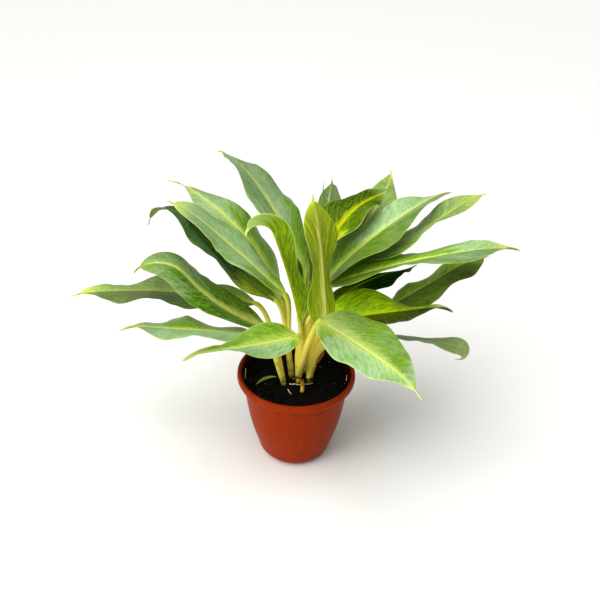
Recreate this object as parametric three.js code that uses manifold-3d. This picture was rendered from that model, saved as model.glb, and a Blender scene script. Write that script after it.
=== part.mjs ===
// A potted green ghost Chinese evergreen: a plastic nursery pot with a rolled rim, potting soil, five leafy shoots
// whose pale petioles part from short sheathed stems, and a long, waved, lance-shaped blade on each petiole.
// Millimetres, +Z up. The origin is the middle of the pot's flat base, and the plant's front is towards -Y.

import * as THREE from "three";
import { mergeVertices } from "three/addons/utils/BufferGeometryUtils.js";
import Module from "manifold-3d";

const wasm = await Module();
wasm.setup();

// Driving dimensions of the pot: a 125 mm rim on a tapered body.
const POT_HEIGHT = 105;
const RIM_RADIUS = 62.5;
const LIP_HEIGHT = 9.5;
const LIP_LEVEL = POT_HEIGHT - LIP_HEIGHT;
const WALL = 1.8;
const FLOOR_THICKNESS = 2.2;
const POT_SIDES = 36;

// The pot's side as [radius, height]: a foot that swells quickly, then a long, slightly bowed taper.
const SIDE_BENDS = [[30, 0], [37, 8], [40, 16], [49.3, 50], [56, LIP_LEVEL]];
const SIDE_PIECES = 7;

// The rolled lip, from its underside round to its inner edge, as [distance in from the rim, depth below the top].
const LIP_BENDS = [[2.5, LIP_HEIGHT], [0.5, 8], [0, 5], [0.6, 1], [2, 0], [4, 0.8]];

// The pot's floor: a flat middle and a foot ring, with drain holes in a shallow channel between them.
const CHANNEL = { inner: 14, outer: 26, depth: 1.2, slope: 1 };
const DRAIN = { holes: 6, radius: 3.5, circle: 20, sides: 12 };
const FLOOR_TOP = CHANNEL.depth + FLOOR_THICKNESS;

// Driving dimensions of the soil, which is mounded round the stems.
const SOIL_EDGE_LEVEL = 91.5;
const SOIL_CROWN = 2.5;
const MOUND_RADIUS = 53.5;
const SOIL_RINGS = 5;
const CLOD_HEIGHT = 0.5;
const CLOD_SPACING = 19;
const SEAT_GAP = 0.3;

// Driving dimensions of the stems and petioles.
const SOIL_LEVEL = SOIL_EDGE_LEVEL + SOIL_CROWN;
const ROOTED_DEPTH = 16;
const STEM_TOP_SHARE = 0.6;
const STEM_TAPER = 0.35;
const STEM_STEPS = 5;
const PETIOLE_START = 0.6;
const PETIOLE_FOOT_RADIUS = 3;
const PETIOLE_NECK_RADIUS = 1.9;
const NECK_BEND = 12;
const PETIOLE_STEPS = 9;
const STALK_SIDES = 6;

// Driving dimensions of every blade.
const BLADE_THICKNESS = 0.9;
const RIB_HALF_WIDTH = 2.2;
const RIB_END_HALF_WIDTH = 0.5;
const RIB_DEPTH = 1.6;
const BLADE_STEPS = 16;
const BLADE_COLUMNS = 6;

// Where each shoot leaves the soil, and the point that its sheathed stem leans towards.
const SHOOTS = {
  left: { foot: [-11, -9], lean: [-28, -8, 142], radius: 3.6 },
  middle_left: { foot: [-4, 3], lean: [-13, 6, 150], radius: 3.8 },
  centre: { foot: [2, -5], lean: [4, -9, 150], radius: 3.6 },
  right: { foot: [13, -2], lean: [22, 0, 148], radius: 4.2 },
  back: { foot: [8, 11], lean: [12, 20, 150], radius: 3.8 },
};

// One entry for each leaf. neck is where the blade starts, and stalk, where given, is the point that its petiole
// bends towards on the way. heading is the way the blade points at the neck seen from above, with 0 along +X and 90
// along +Y, and turn is how far that swings by the tip. rise and fall are its slopes at the neck and at the tip.
// hook is the share of the length where an extra bend begins, and that bend in degrees. drip is the share of the
// length that is only the drawn-out tip, and belly gives the powers that shape the outline before and after its
// widest place. roll tips the blade about its rib, and twist adds to that by the tip. fold lifts both halves from
// the rib, and sag curls them down again. wave is the margin's height, its count, and its phase on the right and
// on the left.
const LEAVES = [
  { name: "A", shoot: "back", neck: [7, 25, 197], heading: 134, turn: -14, rise: 64, fall: -11, hook: [0.8, -10],
    length: 206, width: 54, drip: 0.08, belly: [0.95, 0.82], roll: -6, twist: -29, fold: 20, sag: 10,
    wave: [3, 2.9, 75, 140] },
  { name: "B", shoot: "middle_left", neck: [-17, 36, 171], heading: 171, turn: -23, rise: 73, fall: 8,
    hook: [0.8, -17], length: 183, width: 53, drip: 0.12, belly: [0.7, 1], roll: 0, twist: 27, fold: 5, sag: 15,
    wave: [3.5, 2.5, 295, 350] },
  { name: "C", shoot: "middle_left", neck: [-14, -4, 202], heading: 162, turn: 10, rise: 38, fall: 40,
    hook: [0.7, -20], length: 147, width: 48, drip: 0.05, belly: [0.7, 0.7], roll: -11, twist: 15, fold: 16,
    sag: 11, wave: [2.6, 2.1, 108, 274] },
  { name: "D", shoot: "middle_left", neck: [-23, -7, 197], heading: 176, turn: -25, rise: 32, fall: 61,
    hook: [0.63, -141], length: 177, width: 38, drip: 0.08, belly: [0.73, 0.9], roll: 0, twist: -23, fold: 17,
    sag: 17, wave: [4, 2.5, 50, 90] },
  { name: "F", shoot: "left", neck: [-34, 4, 156], heading: 185, turn: -7, rise: 23, fall: 72, hook: [0.63, -128],
    length: 161, width: 47, drip: 0.07, belly: [0.68, 0.6], roll: 7, twist: 7, fold: 16, sag: 12,
    wave: [6, 1, 48, 30] },
  { name: "G", shoot: "left", neck: [-46, 27, 170], heading: 170, turn: 0, rise: 5, fall: -16, hook: [0.8, -7],
    length: 208, width: 51, drip: 0.06, belly: [0.6, 0.7], roll: -3, twist: -2, fold: 14, sag: 12,
    wave: [5, 2.6, 333, 352] },
  { name: "H", shoot: "left", neck: [-37, -7, 155], heading: 203, turn: -23, rise: 17, fall: 3, hook: [0.8, -33],
    length: 146, width: 51, drip: 0.12, belly: [0.7, 0.83], roll: -25, twist: 25, fold: 13, sag: 12,
    wave: [3.9, 2.4, 7, 30] },
  { name: "I", shoot: "centre", neck: [0, -30, 170], heading: 220, turn: -11, rise: 12, fall: 10, hook: [0.8, -27],
    length: 128, width: 36, drip: 0.1, belly: [0.7, 1.3], roll: 23, twist: -31, fold: 19, sag: 10,
    wave: [5.5, 1.4, 350, 95] },
  { name: "J", shoot: "centre", neck: [2, -6, 172], heading: 183, turn: 0, rise: 79, fall: 67, hook: [0.74, -152],
    length: 140, width: 37, drip: 0.06, belly: [0.87, 0.6], roll: -13, twist: -9, fold: 59, sag: 14,
    wave: [5, 1.5, 274, 13] },
  { name: "K", shoot: "right", neck: [27, -28.5, 174], heading: -53, turn: 5, rise: 93, fall: 108, hook: [0.8, -4],
    length: 144, width: 50, drip: 0.05, belly: [0.67, 0.7], roll: -32, twist: 24, fold: 13, sag: 12,
    wave: [7, 1.45, 333, 247] },
  { name: "L", shoot: "back", neck: [23, 16, 236], heading: 60, turn: -24, rise: 46, fall: -10, hook: [0.8, 37],
    length: 114, width: 51, drip: 0.06, belly: [0.8, 1.1], roll: 31, twist: -44, fold: 21, sag: 10,
    wave: [4, 2.2, 18, 118] },
  { name: "M", shoot: "back", neck: [26, 13, 206], heading: 8, turn: 43, rise: 56, fall: -6, hook: [0.8, -17],
    length: 179, width: 51, drip: 0.08, belly: [0.66, 1.24], roll: 6, twist: -7, fold: 17, sag: 11,
    wave: [5.4, 2, 320, 350] },
  { name: "N", shoot: "back", stalk: [18, 27, 204], neck: [50, 20, 224], heading: 14, turn: 14, rise: 19,
    fall: 30, hook: [0.82, -38], length: 160, width: 43, drip: 0.04, belly: [0.8, 0.86], roll: 12, twist: 4,
    fold: 17, sag: 11, wave: [6, 1.7, 104, 339] },
  { name: "O", shoot: "right", neck: [30, 6, 208], heading: -5, turn: 30, rise: 28, fall: -10, hook: [0.76, -12],
    length: 205, width: 45, drip: 0.08, belly: [0.66, 0.85], roll: 9, twist: -1, fold: 17, sag: 11,
    wave: [6, 1.5, 262, 357] },
  { name: "P", shoot: "right", neck: [30, 11, 180], heading: 37, turn: -2, rise: 22, fall: -17, hook: [0.8, 25],
    length: 121, width: 48, drip: 0.06, belly: [0.62, 0.9], roll: 16, twist: 11, fold: 5, sag: 15,
    wave: [2.3, 2.4, 180, 272] },
  { name: "Q", shoot: "right", neck: [44, -3, 159], heading: 13, turn: 23, rise: 26, fall: 17, hook: [0.67, -30],
    length: 183, width: 52, drip: 0.06, belly: [0.7, 0.6], roll: 19, twist: -6, fold: 5, sag: 15,
    wave: [3.6, 3.2, 78, 276] },
  { name: "R", shoot: "right", neck: [31, -6, 175], heading: -9, turn: -6, rise: 16, fall: 19, hook: [0.79, -38],
    length: 126, width: 52, drip: 0.06, belly: [0.6, 1.4], roll: -40, twist: 68, fold: 16, sag: 12,
    wave: [6, 1.5, 256, 295] },
  { name: "S", shoot: "centre", stalk: [5, -30, 150], neck: [21, -51, 203], heading: -28, turn: -41, rise: -14,
    fall: 9, hook: [0.77, -20], length: 137, width: 58, drip: 0.1, belly: [0.53, 0.95], roll: -7, twist: -14,
    fold: 20, sag: 10, wave: [3, 3.1, 300, 356] },
  { name: "T", shoot: "right", neck: [49, 1, 152], heading: -9, turn: -9, rise: 9, fall: -5, hook: [0.82, -184],
    length: 141, width: 39, drip: 0.06, belly: [0.8, 0.74], roll: 73, twist: -90, fold: 14, sag: 12,
    wave: [3.6, 1.8, 30, 241] },
  { name: "U", shoot: "back", neck: [18, 33, 187], heading: 81, turn: 5, rise: 46, fall: 1, hook: [0.8, -6],
    length: 155, width: 46, drip: 0.06, belly: [0.7, 1], roll: 29, twist: 11, fold: 13, sag: 12,
    wave: [3.8, 2.3, 221, 125] },
  { name: "W", shoot: "back", neck: [32, 29, 206], heading: 42, turn: 42, rise: 44, fall: -7, hook: [0.8, 10],
    length: 170, width: 47, drip: 0.06, belly: [0.63, 1.1], roll: -10, twist: -1, fold: 14, sag: 12,
    wave: [3.8, 2, 68, 185] },
];

// Rolled young leaves that stand in the shoots: three points each bends through, and how far it thins to its tip.
const YOUNG_TIP_RADIUS = 0.4;
const YOUNG_LEAVES = [
  { shoot: "back", through: [[11, 17, 135], [18, 9, 212], [20, 14, 317]], radius: 1.9 },
  { shoot: "back", through: [[9, 16, 132], [7, 8, 170], [8, 8, 221]], radius: 3 },
];

// A cut root stub that bends forward out of the front stem: three points it bends through, and its radius.
const ROOT_STUB = { shoot: "centre", through: [[3, -6, 97], [6.5, -13, 100], [6.6, -27, 96.8]], radius: 1.9 };

// A thin root and a torn leaf lie on the soil. Each is given by the places it crosses, seen from above, and by the
// height of its middle over the soil.
const SURFACE_ROOT = { crosses: [[-6.8, -11.6], [3, -11.8], [18, -9]], over: 1.3, radius: 0.7, steps: 8 };
const TORN_LEAF = {
  crosses: [[-42, -13], [-32, -3], [-21, 0]], over: 1.35, width: 6, blunt: 0.15, thickness: 0.9, curl: 2.2, steps: 8,
};
const PATH_PIECES = 12;

const POT_COLOUR = 0xb5431e;
const SOIL_COLOUR = 0x15110d;
const PETIOLE_COLOUR = 0xd9d79a;
const BLADE_COLOUR = 0x5f9148;
const ROOT_COLOUR = 0xd8cfae;
const TORN_LEAF_COLOUR = 0x6f7f2c;

/** Degrees to radians. */
const rad = THREE.MathUtils.degToRad;

/** The level direction to the right of a heading given in degrees. */
function levelRight(heading) {
  return new THREE.Vector3(Math.sin(rad(heading)), -Math.cos(rad(heading)), 0);
}

/** The blade's direction at share t of its length: a slope and a heading that both change evenly, plus the hook. */
function direction(leaf, t) {
  const [from, bend] = leaf.hook;
  const hooked = bend * Math.max(0, (t - from) / (1 - from));
  const slope = rad(leaf.rise + (leaf.fall - leaf.rise) * t + hooked);
  const heading = rad(leaf.heading + leaf.turn * t);
  return new THREE.Vector3(
    Math.cos(slope) * Math.cos(heading), Math.cos(slope) * Math.sin(heading), Math.sin(slope));
}

/** The blade's own axes at share t: the level right, tipped about the blade's line by the roll and the twist. */
function axes(leaf, t) {
  const along = direction(leaf, t);
  const right = levelRight(leaf.heading + leaf.turn * t);
  const above = right.clone().cross(along);
  const roll = rad(leaf.roll + leaf.twist * t);
  const side = right.multiplyScalar(Math.cos(roll)).addScaledVector(above, Math.sin(roll));
  return { side, up: side.clone().cross(along) };
}

function ribHalfWidth(t) {
  return RIB_HALF_WIDTH * (1 - t) + RIB_END_HALF_WIDTH;
}

/** Half the blade's width at share t: a lance outline, widest where its two powers balance, added to the rib. */
function halfWidth(leaf, t) {
  const u = Math.min(1, t / (1 - leaf.drip));
  const [a, b] = leaf.belly;
  const widest = a / (a + b);
  const outline = (u / widest) ** a * ((1 - u) / (1 - widest)) ** b;
  return (leaf.width / 2) * outline + ribHalfWidth(t);
}

/** How far across and above the rib a point of the blade lies, at share t and signed share s of the half width. */
function offRib(leaf, t, s) {
  const half = halfWidth(leaf, t) * Math.abs(s);
  const [height, count, right, left] = leaf.wave;
  const wave = height * Math.sqrt(Math.sin(Math.PI * t)) * Math.abs(s) ** 1.5
    * Math.sin(2 * Math.PI * count * t + rad(s > 0 ? right : left));
  const lean = rad(leaf.fold - leaf.sag * Math.abs(s));
  return { across: Math.sign(s) * half * Math.cos(lean), above: half * Math.sin(lean) + wave };
}

/** A closed blade: matching top and bottom grids, with the rib standing out below. */
function bladeGeometry(leaf) {
  const step = 1 / BLADE_STEPS;
  const centre = new THREE.Vector3(...leaf.neck);
  const top = [];
  const bottom = [];
  for (let i = 0; i <= BLADE_STEPS; i++) {
    const t = i * step;
    if (i > 0) centre.addScaledVector(direction(leaf, t - step / 2), leaf.length * step);
    const { side, up } = axes(leaf, t);
    const rib = Math.min(0.5, ribHalfWidth(t) / halfWidth(leaf, t));
    const middle = (1 + rib) / 2;
    for (const s of [-1, -middle, -rib, rib, middle, 1]) {
      const { across, above } = offRib(leaf, t, s);
      const point = centre.clone().addScaledVector(side, across).addScaledVector(up, above);
      const keel = Math.abs(s) === rib ? RIB_DEPTH * (1 - t) : 0;
      top.push(point.clone().addScaledVector(up, BLADE_THICKNESS / 2));
      bottom.push(point.clone().addScaledVector(up, -BLADE_THICKNESS / 2 - keel));
    }
  }
  return sheetGeometry(top, bottom, BLADE_COLUMNS);
}

/** Closes two matching grids of points, columns wide, into one body. Both faces split their quads the same way. */
function sheetGeometry(top, bottom, columns) {
  const faces = [];
  const quad = (a, b, c, d) => faces.push(a, b, c, a, c, d);
  const under = top.length;
  const lastRow = top.length - columns;
  for (let row = 0; row < lastRow; row += columns) {
    for (let a = row; a < row + columns - 1; a++) {
      const [b, c, d] = [a + 1, a + columns + 1, a + columns];
      quad(a, b, c, d);
      faces.push(under + a, under + c, under + b, under + a, under + d, under + c);
    }
    quad(row, row + columns, under + row + columns, under + row);
    const right = row + columns - 1;
    quad(right, under + right, under + right + columns, right + columns);
  }
  for (let j = 0; j < columns - 1; j++) {
    const end = lastRow + j;
    quad(j + 1, j, under + j, under + j + 1);
    quad(end, end + 1, under + end + 1, under + end);
  }
  return meshGeometry([...top, ...bottom], faces);
}

function meshGeometry(points, faces) {
  const geometry = new THREE.BufferGeometry().setFromPoints(points);
  geometry.setIndex(faces);
  return geometry;
}

/**
 * A closed round tube along a curve, with its radius given at each share of the curve. Its sections are square to
 * the curve, and their corners are counted from the across direction, which the curve never runs along.
 */
function tubeGeometry(curve, across, radiusAt, steps) {
  const points = [];
  const faces = [];
  for (let i = 0; i <= steps; i++) {
    const middle = curve.getPoint(i / steps);
    const along = curve.getTangent(i / steps);
    const right = across.clone().addScaledVector(along, -across.dot(along)).normalize();
    const up = along.clone().cross(right);
    const radius = radiusAt(i / steps);
    for (let j = 0; j < STALK_SIDES; j++) {
      const turn = (2 * Math.PI * j) / STALK_SIDES;
      points.push(middle.clone()
        .addScaledVector(right, Math.cos(turn) * radius)
        .addScaledVector(up, Math.sin(turn) * radius));
    }
  }
  points.push(curve.getPoint(0), curve.getPoint(1));
  const [start, end] = [points.length - 2, points.length - 1];
  for (let j = 0; j < STALK_SIDES; j++) {
    const next = (j + 1) % STALK_SIDES;
    for (let i = 0; i < steps; i++) {
      const [a, b] = [i * STALK_SIDES + j, i * STALK_SIDES + next];
      faces.push(a, b, b + STALK_SIDES, a, b + STALK_SIDES, a + STALK_SIDES);
    }
    faces.push(start, next, j);
    faces.push(end, steps * STALK_SIDES + j, steps * STALK_SIDES + next);
  }
  return meshGeometry(points, faces);
}

/** A stem's line: straight up through the soil, then over towards the point that it leans to. */
function stemCurve(shoot) {
  const foot = new THREE.Vector3(...shoot.foot, SOIL_LEVEL);
  const root = foot.clone().setZ(SOIL_LEVEL - ROOTED_DEPTH);
  const top = foot.clone().lerp(new THREE.Vector3(...shoot.lean), STEM_TOP_SHARE);
  return new THREE.QuadraticBezierCurve3(root, foot, top);
}

/** A shoot's sheathed stem, or with a clearance, the plain hole that it stands in. */
function stemGeometry(shoot, clearance = 0) {
  const curve = stemCurve(shoot);
  curve.v0.z -= clearance;
  return tubeGeometry(curve, levelRight(0), (t) => shoot.radius * (1 - STEM_TAPER * t) + clearance, STEM_STEPS);
}

/** A petiole's line: out of the stem, up the way the shoot leans, and over to arrive the way its blade leaves. */
function petioleCurve(leaf) {
  const shoot = SHOOTS[leaf.shoot];
  const start = stemCurve(shoot).getPoint(PETIOLE_START);
  const neck = new THREE.Vector3(...leaf.neck);
  const lean = new THREE.Vector3(...shoot.lean).sub(start).normalize();
  const stalk = leaf.stalk
    ? new THREE.Vector3(...leaf.stalk)
    : start.clone().addScaledVector(lean, neck.distanceTo(start) / 2);
  const along = direction(leaf, 0);
  const end = neck.clone().addScaledVector(along, -SEAT_GAP);
  return new THREE.CubicBezierCurve3(start, stalk, end.clone().addScaledVector(along, -NECK_BEND), end);
}

function petioleGeometry(leaf) {
  const radiusAt = (t) => THREE.MathUtils.lerp(PETIOLE_FOOT_RADIUS, PETIOLE_NECK_RADIUS, Math.sqrt(t));
  return tubeGeometry(petioleCurve(leaf), levelRight(leaf.heading), radiusAt, PETIOLE_STEPS);
}

/** A smooth curve through hand-placed points. */
function curveThrough(points) {
  return new THREE.CatmullRomCurve3(points.map((point) => new THREE.Vector3(...point)));
}

/** A rolled young leaf: a spindle that thins to a point. */
function youngLeafGeometry({ through, radius }) {
  const radiusAt = (t) => radius * (1 - t ** 1.5) + YOUNG_TIP_RADIUS;
  return tubeGeometry(curveThrough(through), levelRight(0), radiusAt, PETIOLE_STEPS);
}

function rootStubGeometry({ through, radius }) {
  return tubeGeometry(curveThrough(through), levelRight(90), () => radius, STEM_STEPS);
}

/** A geometry as a solid for joining and cutting. */
function solid(geometry) {
  const bare = geometry.clone();
  bare.deleteAttribute("normal");
  bare.deleteAttribute("uv");
  const merged = mergeVertices(bare, 1e-4);
  return new wasm.Manifold(new wasm.Mesh({
    numProp: 3,
    vertProperties: new Float32Array(merged.attributes.position.array),
    triVerts: new Uint32Array(merged.index.array),
  }));
}

function geometryOf(manifold) {
  const { vertProperties, triVerts } = manifold.getMesh();
  const geometry = new THREE.BufferGeometry();
  geometry.setAttribute("position", new THREE.BufferAttribute(vertProperties, 3));
  geometry.setIndex(new THREE.BufferAttribute(triVerts, 1));
  return geometry;
}

/** A shoot's stem with all that grows from it. A sharp bend can leave a loose scrap in it, which is dropped. */
function shootGeometry(name) {
  const grown = [
    ...LEAVES.filter((leaf) => leaf.shoot === name).map(petioleGeometry),
    ...YOUNG_LEAVES.filter((leaf) => leaf.shoot === name).map(youngLeafGeometry),
    ...[ROOT_STUB].filter((stub) => stub.shoot === name).map(rootStubGeometry),
  ];
  const joined = grown.reduce((body, geometry) => body.add(solid(geometry)), solid(stemGeometry(SHOOTS[name])));
  return geometryOf(joined.decompose().sort((a, b) => b.volume() - a.volume())[0]);
}

/** A profile of [radius, height] pairs turned round the upright axis. It starts and ends on the axis. */
function turned(profile) {
  return new THREE.LatheGeometry(profile.map(([r, z]) => new THREE.Vector2(r, z)), POT_SIDES).rotateX(Math.PI / 2);
}

/** The pot's outer side below its lip, smoothed through its bends. */
function potSide() {
  const bends = SIDE_BENDS.map(([r, z]) => new THREE.Vector2(r, z));
  return new THREE.SplineCurve(bends).getPoints(SIDE_PIECES).map((p) => [p.x, p.y]);
}

/** The inner side of the pot's wall above a height, from the top down, set in by the wall and a clearance. */
function wallInside(above, clearance) {
  const inside = potSide().map(([r, z]) => [r - WALL - clearance, z]);
  const next = inside.findIndex(([, z]) => z > above);
  const [[r0, z0], [r1, z1]] = [inside[next - 1], inside[next]];
  const foot = [THREE.MathUtils.mapLinear(above, z0, z1, r0, r1), above];
  return [foot, ...inside.slice(next)].reverse();
}

/** The moulded pot: a drained floor, a tapered wall, and a lip that is turned out and rolled over. */
function potGeometry() {
  const { inner, outer, depth, slope } = CHANNEL;
  const base = [[0, 0], [inner, 0], [inner + slope, depth], [outer - slope, depth], [outer, 0]];
  const lip = LIP_BENDS.map(([inwards, below]) => [RIM_RADIUS - inwards, POT_HEIGHT - below]);
  const body = solid(turned([...base, ...potSide(), ...lip, ...wallInside(FLOOR_TOP, 0), [0, FLOOR_TOP]]));
  const turns = Array.from({ length: DRAIN.holes }, (_, i) => (2 * Math.PI * i) / DRAIN.holes);
  return geometryOf(turns.reduce((pot, turn) => {
    const drill = new THREE.CylinderGeometry(DRAIN.radius, DRAIN.radius, 4 * FLOOR_TOP, DRAIN.sides)
      .rotateX(Math.PI / 2)
      .translate(DRAIN.circle * Math.cos(turn), DRAIN.circle * Math.sin(turn), 0);
    return pot.subtract(solid(drill));
  }, body));
}

/** Height of the soil: a low mound, with clods as crossed waves that die away at the pot's wall. */
function soilHeight(x, y) {
  const share = Math.min(1, Math.hypot(x, y) / MOUND_RADIUS);
  const clods = Math.sin(x * (2 * Math.PI / CLOD_SPACING)) * Math.cos(y * (2 * Math.PI / CLOD_SPACING) + 1);
  return SOIL_EDGE_LEVEL + (SOIL_CROWN + CLOD_HEIGHT * clods) * (1 - share ** 2);
}

/** The soil: a plug that fills the pot, clear of its wall and floor, with a hole for each stem. */
function soilGeometry() {
  const side = wallInside(FLOOR_TOP + SEAT_GAP, SEAT_GAP).reverse().filter(([, z]) => z < SOIL_EDGE_LEVEL - 2);
  const [edge] = wallInside(SOIL_EDGE_LEVEL, SEAT_GAP).slice(-1);
  const rings = Array.from({ length: SOIL_RINGS }, (_, i) => [edge[0] * (1 - i / SOIL_RINGS), SOIL_EDGE_LEVEL]);
  const geometry = turned([[0, FLOOR_TOP + SEAT_GAP], ...side, ...rings, [0, SOIL_EDGE_LEVEL]]);
  const position = geometry.getAttribute("position");
  for (let i = 0; i < position.count; i++) {
    if (position.getZ(i) > SOIL_EDGE_LEVEL - 0.1) {
      position.setZ(i, soilHeight(position.getX(i), position.getY(i)));
    }
  }
  return geometryOf(Object.values(SHOOTS)
    .reduce((soil, shoot) => soil.subtract(solid(stemGeometry(shoot, SEAT_GAP))), solid(geometry)));
}

/** A curve that follows the soil through places seen from above, at a given height over it. */
function curveOverSoil({ crosses, over }) {
  const places = curveThrough(crosses.map(([x, y]) => [x, y, 0])).getPoints(PATH_PIECES);
  return new THREE.CatmullRomCurve3(places.map((place) => place.setZ(soilHeight(place.x, place.y) + over)));
}

function surfaceRootGeometry(root) {
  return tubeGeometry(curveOverSoil(root), levelRight(0), () => root.radius, root.steps);
}

/** The torn leaf: a narrow, pointed strip that lies along its middle and curls up at both margins. */
function tornLeafGeometry(leaf) {
  const { width, blunt, thickness, curl, steps } = leaf;
  const path = curveOverSoil(leaf);
  const top = [];
  const bottom = [];
  for (let i = 0; i <= steps; i++) {
    const t = i / steps;
    const across = path.getTangent(t).cross(new THREE.Vector3(0, 0, 1)).normalize();
    const half = (width / 2) * (blunt + Math.sin(Math.PI * t) ** 0.8);
    for (const s of [-1, 0, 1]) {
      const point = path.getPoint(t).addScaledVector(across, half * s);
      point.z += curl * (half / width) * s * s;
      top.push(point.clone().setZ(point.z + thickness / 2));
      bottom.push(point.clone().setZ(point.z - thickness / 2));
    }
  }
  return sheetGeometry(top, bottom, 3);
}

function node(name, geometry, colour, roughness) {
  const mesh = new THREE.Mesh(geometry, new THREE.MeshStandardMaterial({ color: colour, roughness, metalness: 0 }));
  mesh.name = name;
  return mesh;
}

const plant = new THREE.Group();
plant.add(node("pot", potGeometry(), POT_COLOUR, 0.4));
plant.add(node("soil", soilGeometry(), SOIL_COLOUR, 0.9));
plant.add(node("surface_root", surfaceRootGeometry(SURFACE_ROOT), ROOT_COLOUR, 0.7));
plant.add(node("torn_leaf", tornLeafGeometry(TORN_LEAF), TORN_LEAF_COLOUR, 0.6));
for (const name of Object.keys(SHOOTS)) plant.add(node("shoot_" + name, shootGeometry(name), PETIOLE_COLOUR, 0.5));
for (const leaf of LEAVES) plant.add(node("leaf_" + leaf.name, bladeGeometry(leaf), BLADE_COLOUR, 0.5));

export default plant;
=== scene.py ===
"""A potted green ghost Chinese evergreen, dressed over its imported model.

Sizes are typed in millimetres, as the part's source has them, and meshes are made in metres. +Z is up, the
pot's flat base stands on z 0, and the plant's front is towards -Y.
"""

from __future__ import annotations

import logging
import math
from dataclasses import dataclass
from enum import Enum

import bpy
import numpy as np
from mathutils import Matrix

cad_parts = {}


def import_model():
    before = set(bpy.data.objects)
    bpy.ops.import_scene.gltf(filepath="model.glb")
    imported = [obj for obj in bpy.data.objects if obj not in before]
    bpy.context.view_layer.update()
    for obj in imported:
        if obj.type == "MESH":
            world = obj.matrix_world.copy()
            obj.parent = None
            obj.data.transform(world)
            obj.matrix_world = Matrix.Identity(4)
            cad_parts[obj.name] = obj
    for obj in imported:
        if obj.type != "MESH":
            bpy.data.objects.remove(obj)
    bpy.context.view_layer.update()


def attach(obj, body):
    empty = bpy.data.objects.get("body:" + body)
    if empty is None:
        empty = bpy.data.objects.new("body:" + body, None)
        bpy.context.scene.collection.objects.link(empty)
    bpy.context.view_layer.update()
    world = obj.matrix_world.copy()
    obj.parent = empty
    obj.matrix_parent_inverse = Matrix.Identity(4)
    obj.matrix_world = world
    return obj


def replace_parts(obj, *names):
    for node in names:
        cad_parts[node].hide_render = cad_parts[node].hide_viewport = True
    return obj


LOG = logging.getLogger("evergreen")
MM = 0.001
UPWARDS = np.array([0.0, 0.0, 1.0])
TOWARDS_FRONT = np.array([0.0, -1.0, 0.0])
# How many random heights lie along each side of the lattice that lumps are blended from.
LATTICE = 64

Point = tuple[float, float, float]
Place = tuple[float, float]


# Helpers for colours, nodes, vectors and meshes.


def linear(colour: str) -> tuple[float, float, float, float]:
    """Turns an sRGB hex colour into the linear colour that a shader reads.

    Args:
        colour: The colour as #rrggbb.

    Returns:
        Linear red, green and blue, and an alpha of 1.
    """
    channels = [int(colour[i:i + 2], 16) / 255 for i in (1, 3, 5)]
    return (*(c / 12.92 if c <= 0.04045 else ((c + 0.055) / 1.055) ** 2.4 for c in channels), 1.0)


def add_node(tree: bpy.types.NodeTree, kind: str, inputs: dict | None = None,
             **settings: object) -> bpy.types.Node:
    """Adds a shader node with its settings, and gives or links its inputs.

    Args:
        tree: The material's node tree.
        kind: The node's type name.
        inputs: Values or output sockets, by the name or number of the input that each goes to.
        **settings: The node's own options.

    Returns:
        The new node.
    """
    made = tree.nodes.new(kind)
    for key, value in settings.items():
        setattr(made, key, value)
    for key, value in (inputs or {}).items():
        if isinstance(value, bpy.types.NodeSocket):
            tree.links.new(value, made.inputs[key])
        else:
            made.inputs[key].default_value = value
    return made


def unit(vectors: np.ndarray) -> np.ndarray:
    """Scales vectors along the last axis to length 1."""
    return vectors / np.linalg.norm(vectors, axis=-1, keepdims=True)


def smooth(edge0: float, edge1: float, x: np.ndarray) -> np.ndarray:
    """Smoothstep: 0 before edge0, 1 past edge1, and 3u^2 - 2u^3 between them at the share u of the way."""
    u = np.clip((x - edge0) / (edge1 - edge0), 0, 1)
    return u * u * (3 - 2 * u)


def lumps(x: np.ndarray, y: np.ndarray, size: float, seed: int) -> np.ndarray:
    """Smooth random heights over a plane: a seeded lattice of values, blended by smoothstep.

    Args:
        x: Places along X, in mm.
        y: Places along Y, in mm.
        size: The lattice's spacing, in mm.
        seed: The seed of its values.

    Returns:
        A height from -1 to 1 at each place.
    """
    lattice = np.random.default_rng(seed).uniform(-1, 1, (LATTICE, LATTICE))
    u, v = x / size + LATTICE / 2, y / size + LATTICE / 2
    i, j = np.floor(u).astype(int), np.floor(v).astype(int)
    a, b = smooth(0, 1, u - i), smooth(0, 1, v - j)
    i, j = i % (LATTICE - 1), j % (LATTICE - 1)
    near = lattice[i, j] * (1 - a) + lattice[i + 1, j] * a
    far = lattice[i, j + 1] * (1 - a) + lattice[i + 1, j + 1] * a
    return near * (1 - b) + far * b


def through(places: list[tuple[float, ...]], t: np.ndarray) -> np.ndarray:
    """A smooth line through three places: the parabola that meets them at shares 0, 1/2 and 1.

    Args:
        places: The three places.
        t: Shares of the line.

    Returns:
        Its points.
    """
    a, b, c = (np.array(place, float) for place in places)
    t = t[:, None]
    return a * (2 * t - 1) * (t - 1) + 4 * b * t * (1 - t) + c * t * (2 * t - 1)


@dataclass
class Shell:
    """A mesh being made: points in mm, faces, named values for each point, and a slot for each face."""

    points: np.ndarray
    faces: list[list[int]]
    values: dict[str, np.ndarray]
    slots: np.ndarray | None = None

    def joined(self, other: "Shell") -> "Shell":
        """Puts another shell into the same mesh.

        Args:
            other: The shell to add, with the same named values.

        Returns:
            One shell that holds both, without slots.
        """
        start = len(self.points)
        return Shell(
            np.concatenate([self.points, other.points]),
            self.faces + [[i + start for i in face] for face in other.faces],
            {name: np.concatenate([value, other.values[name]]) for name, value in self.values.items()},
        )


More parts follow.
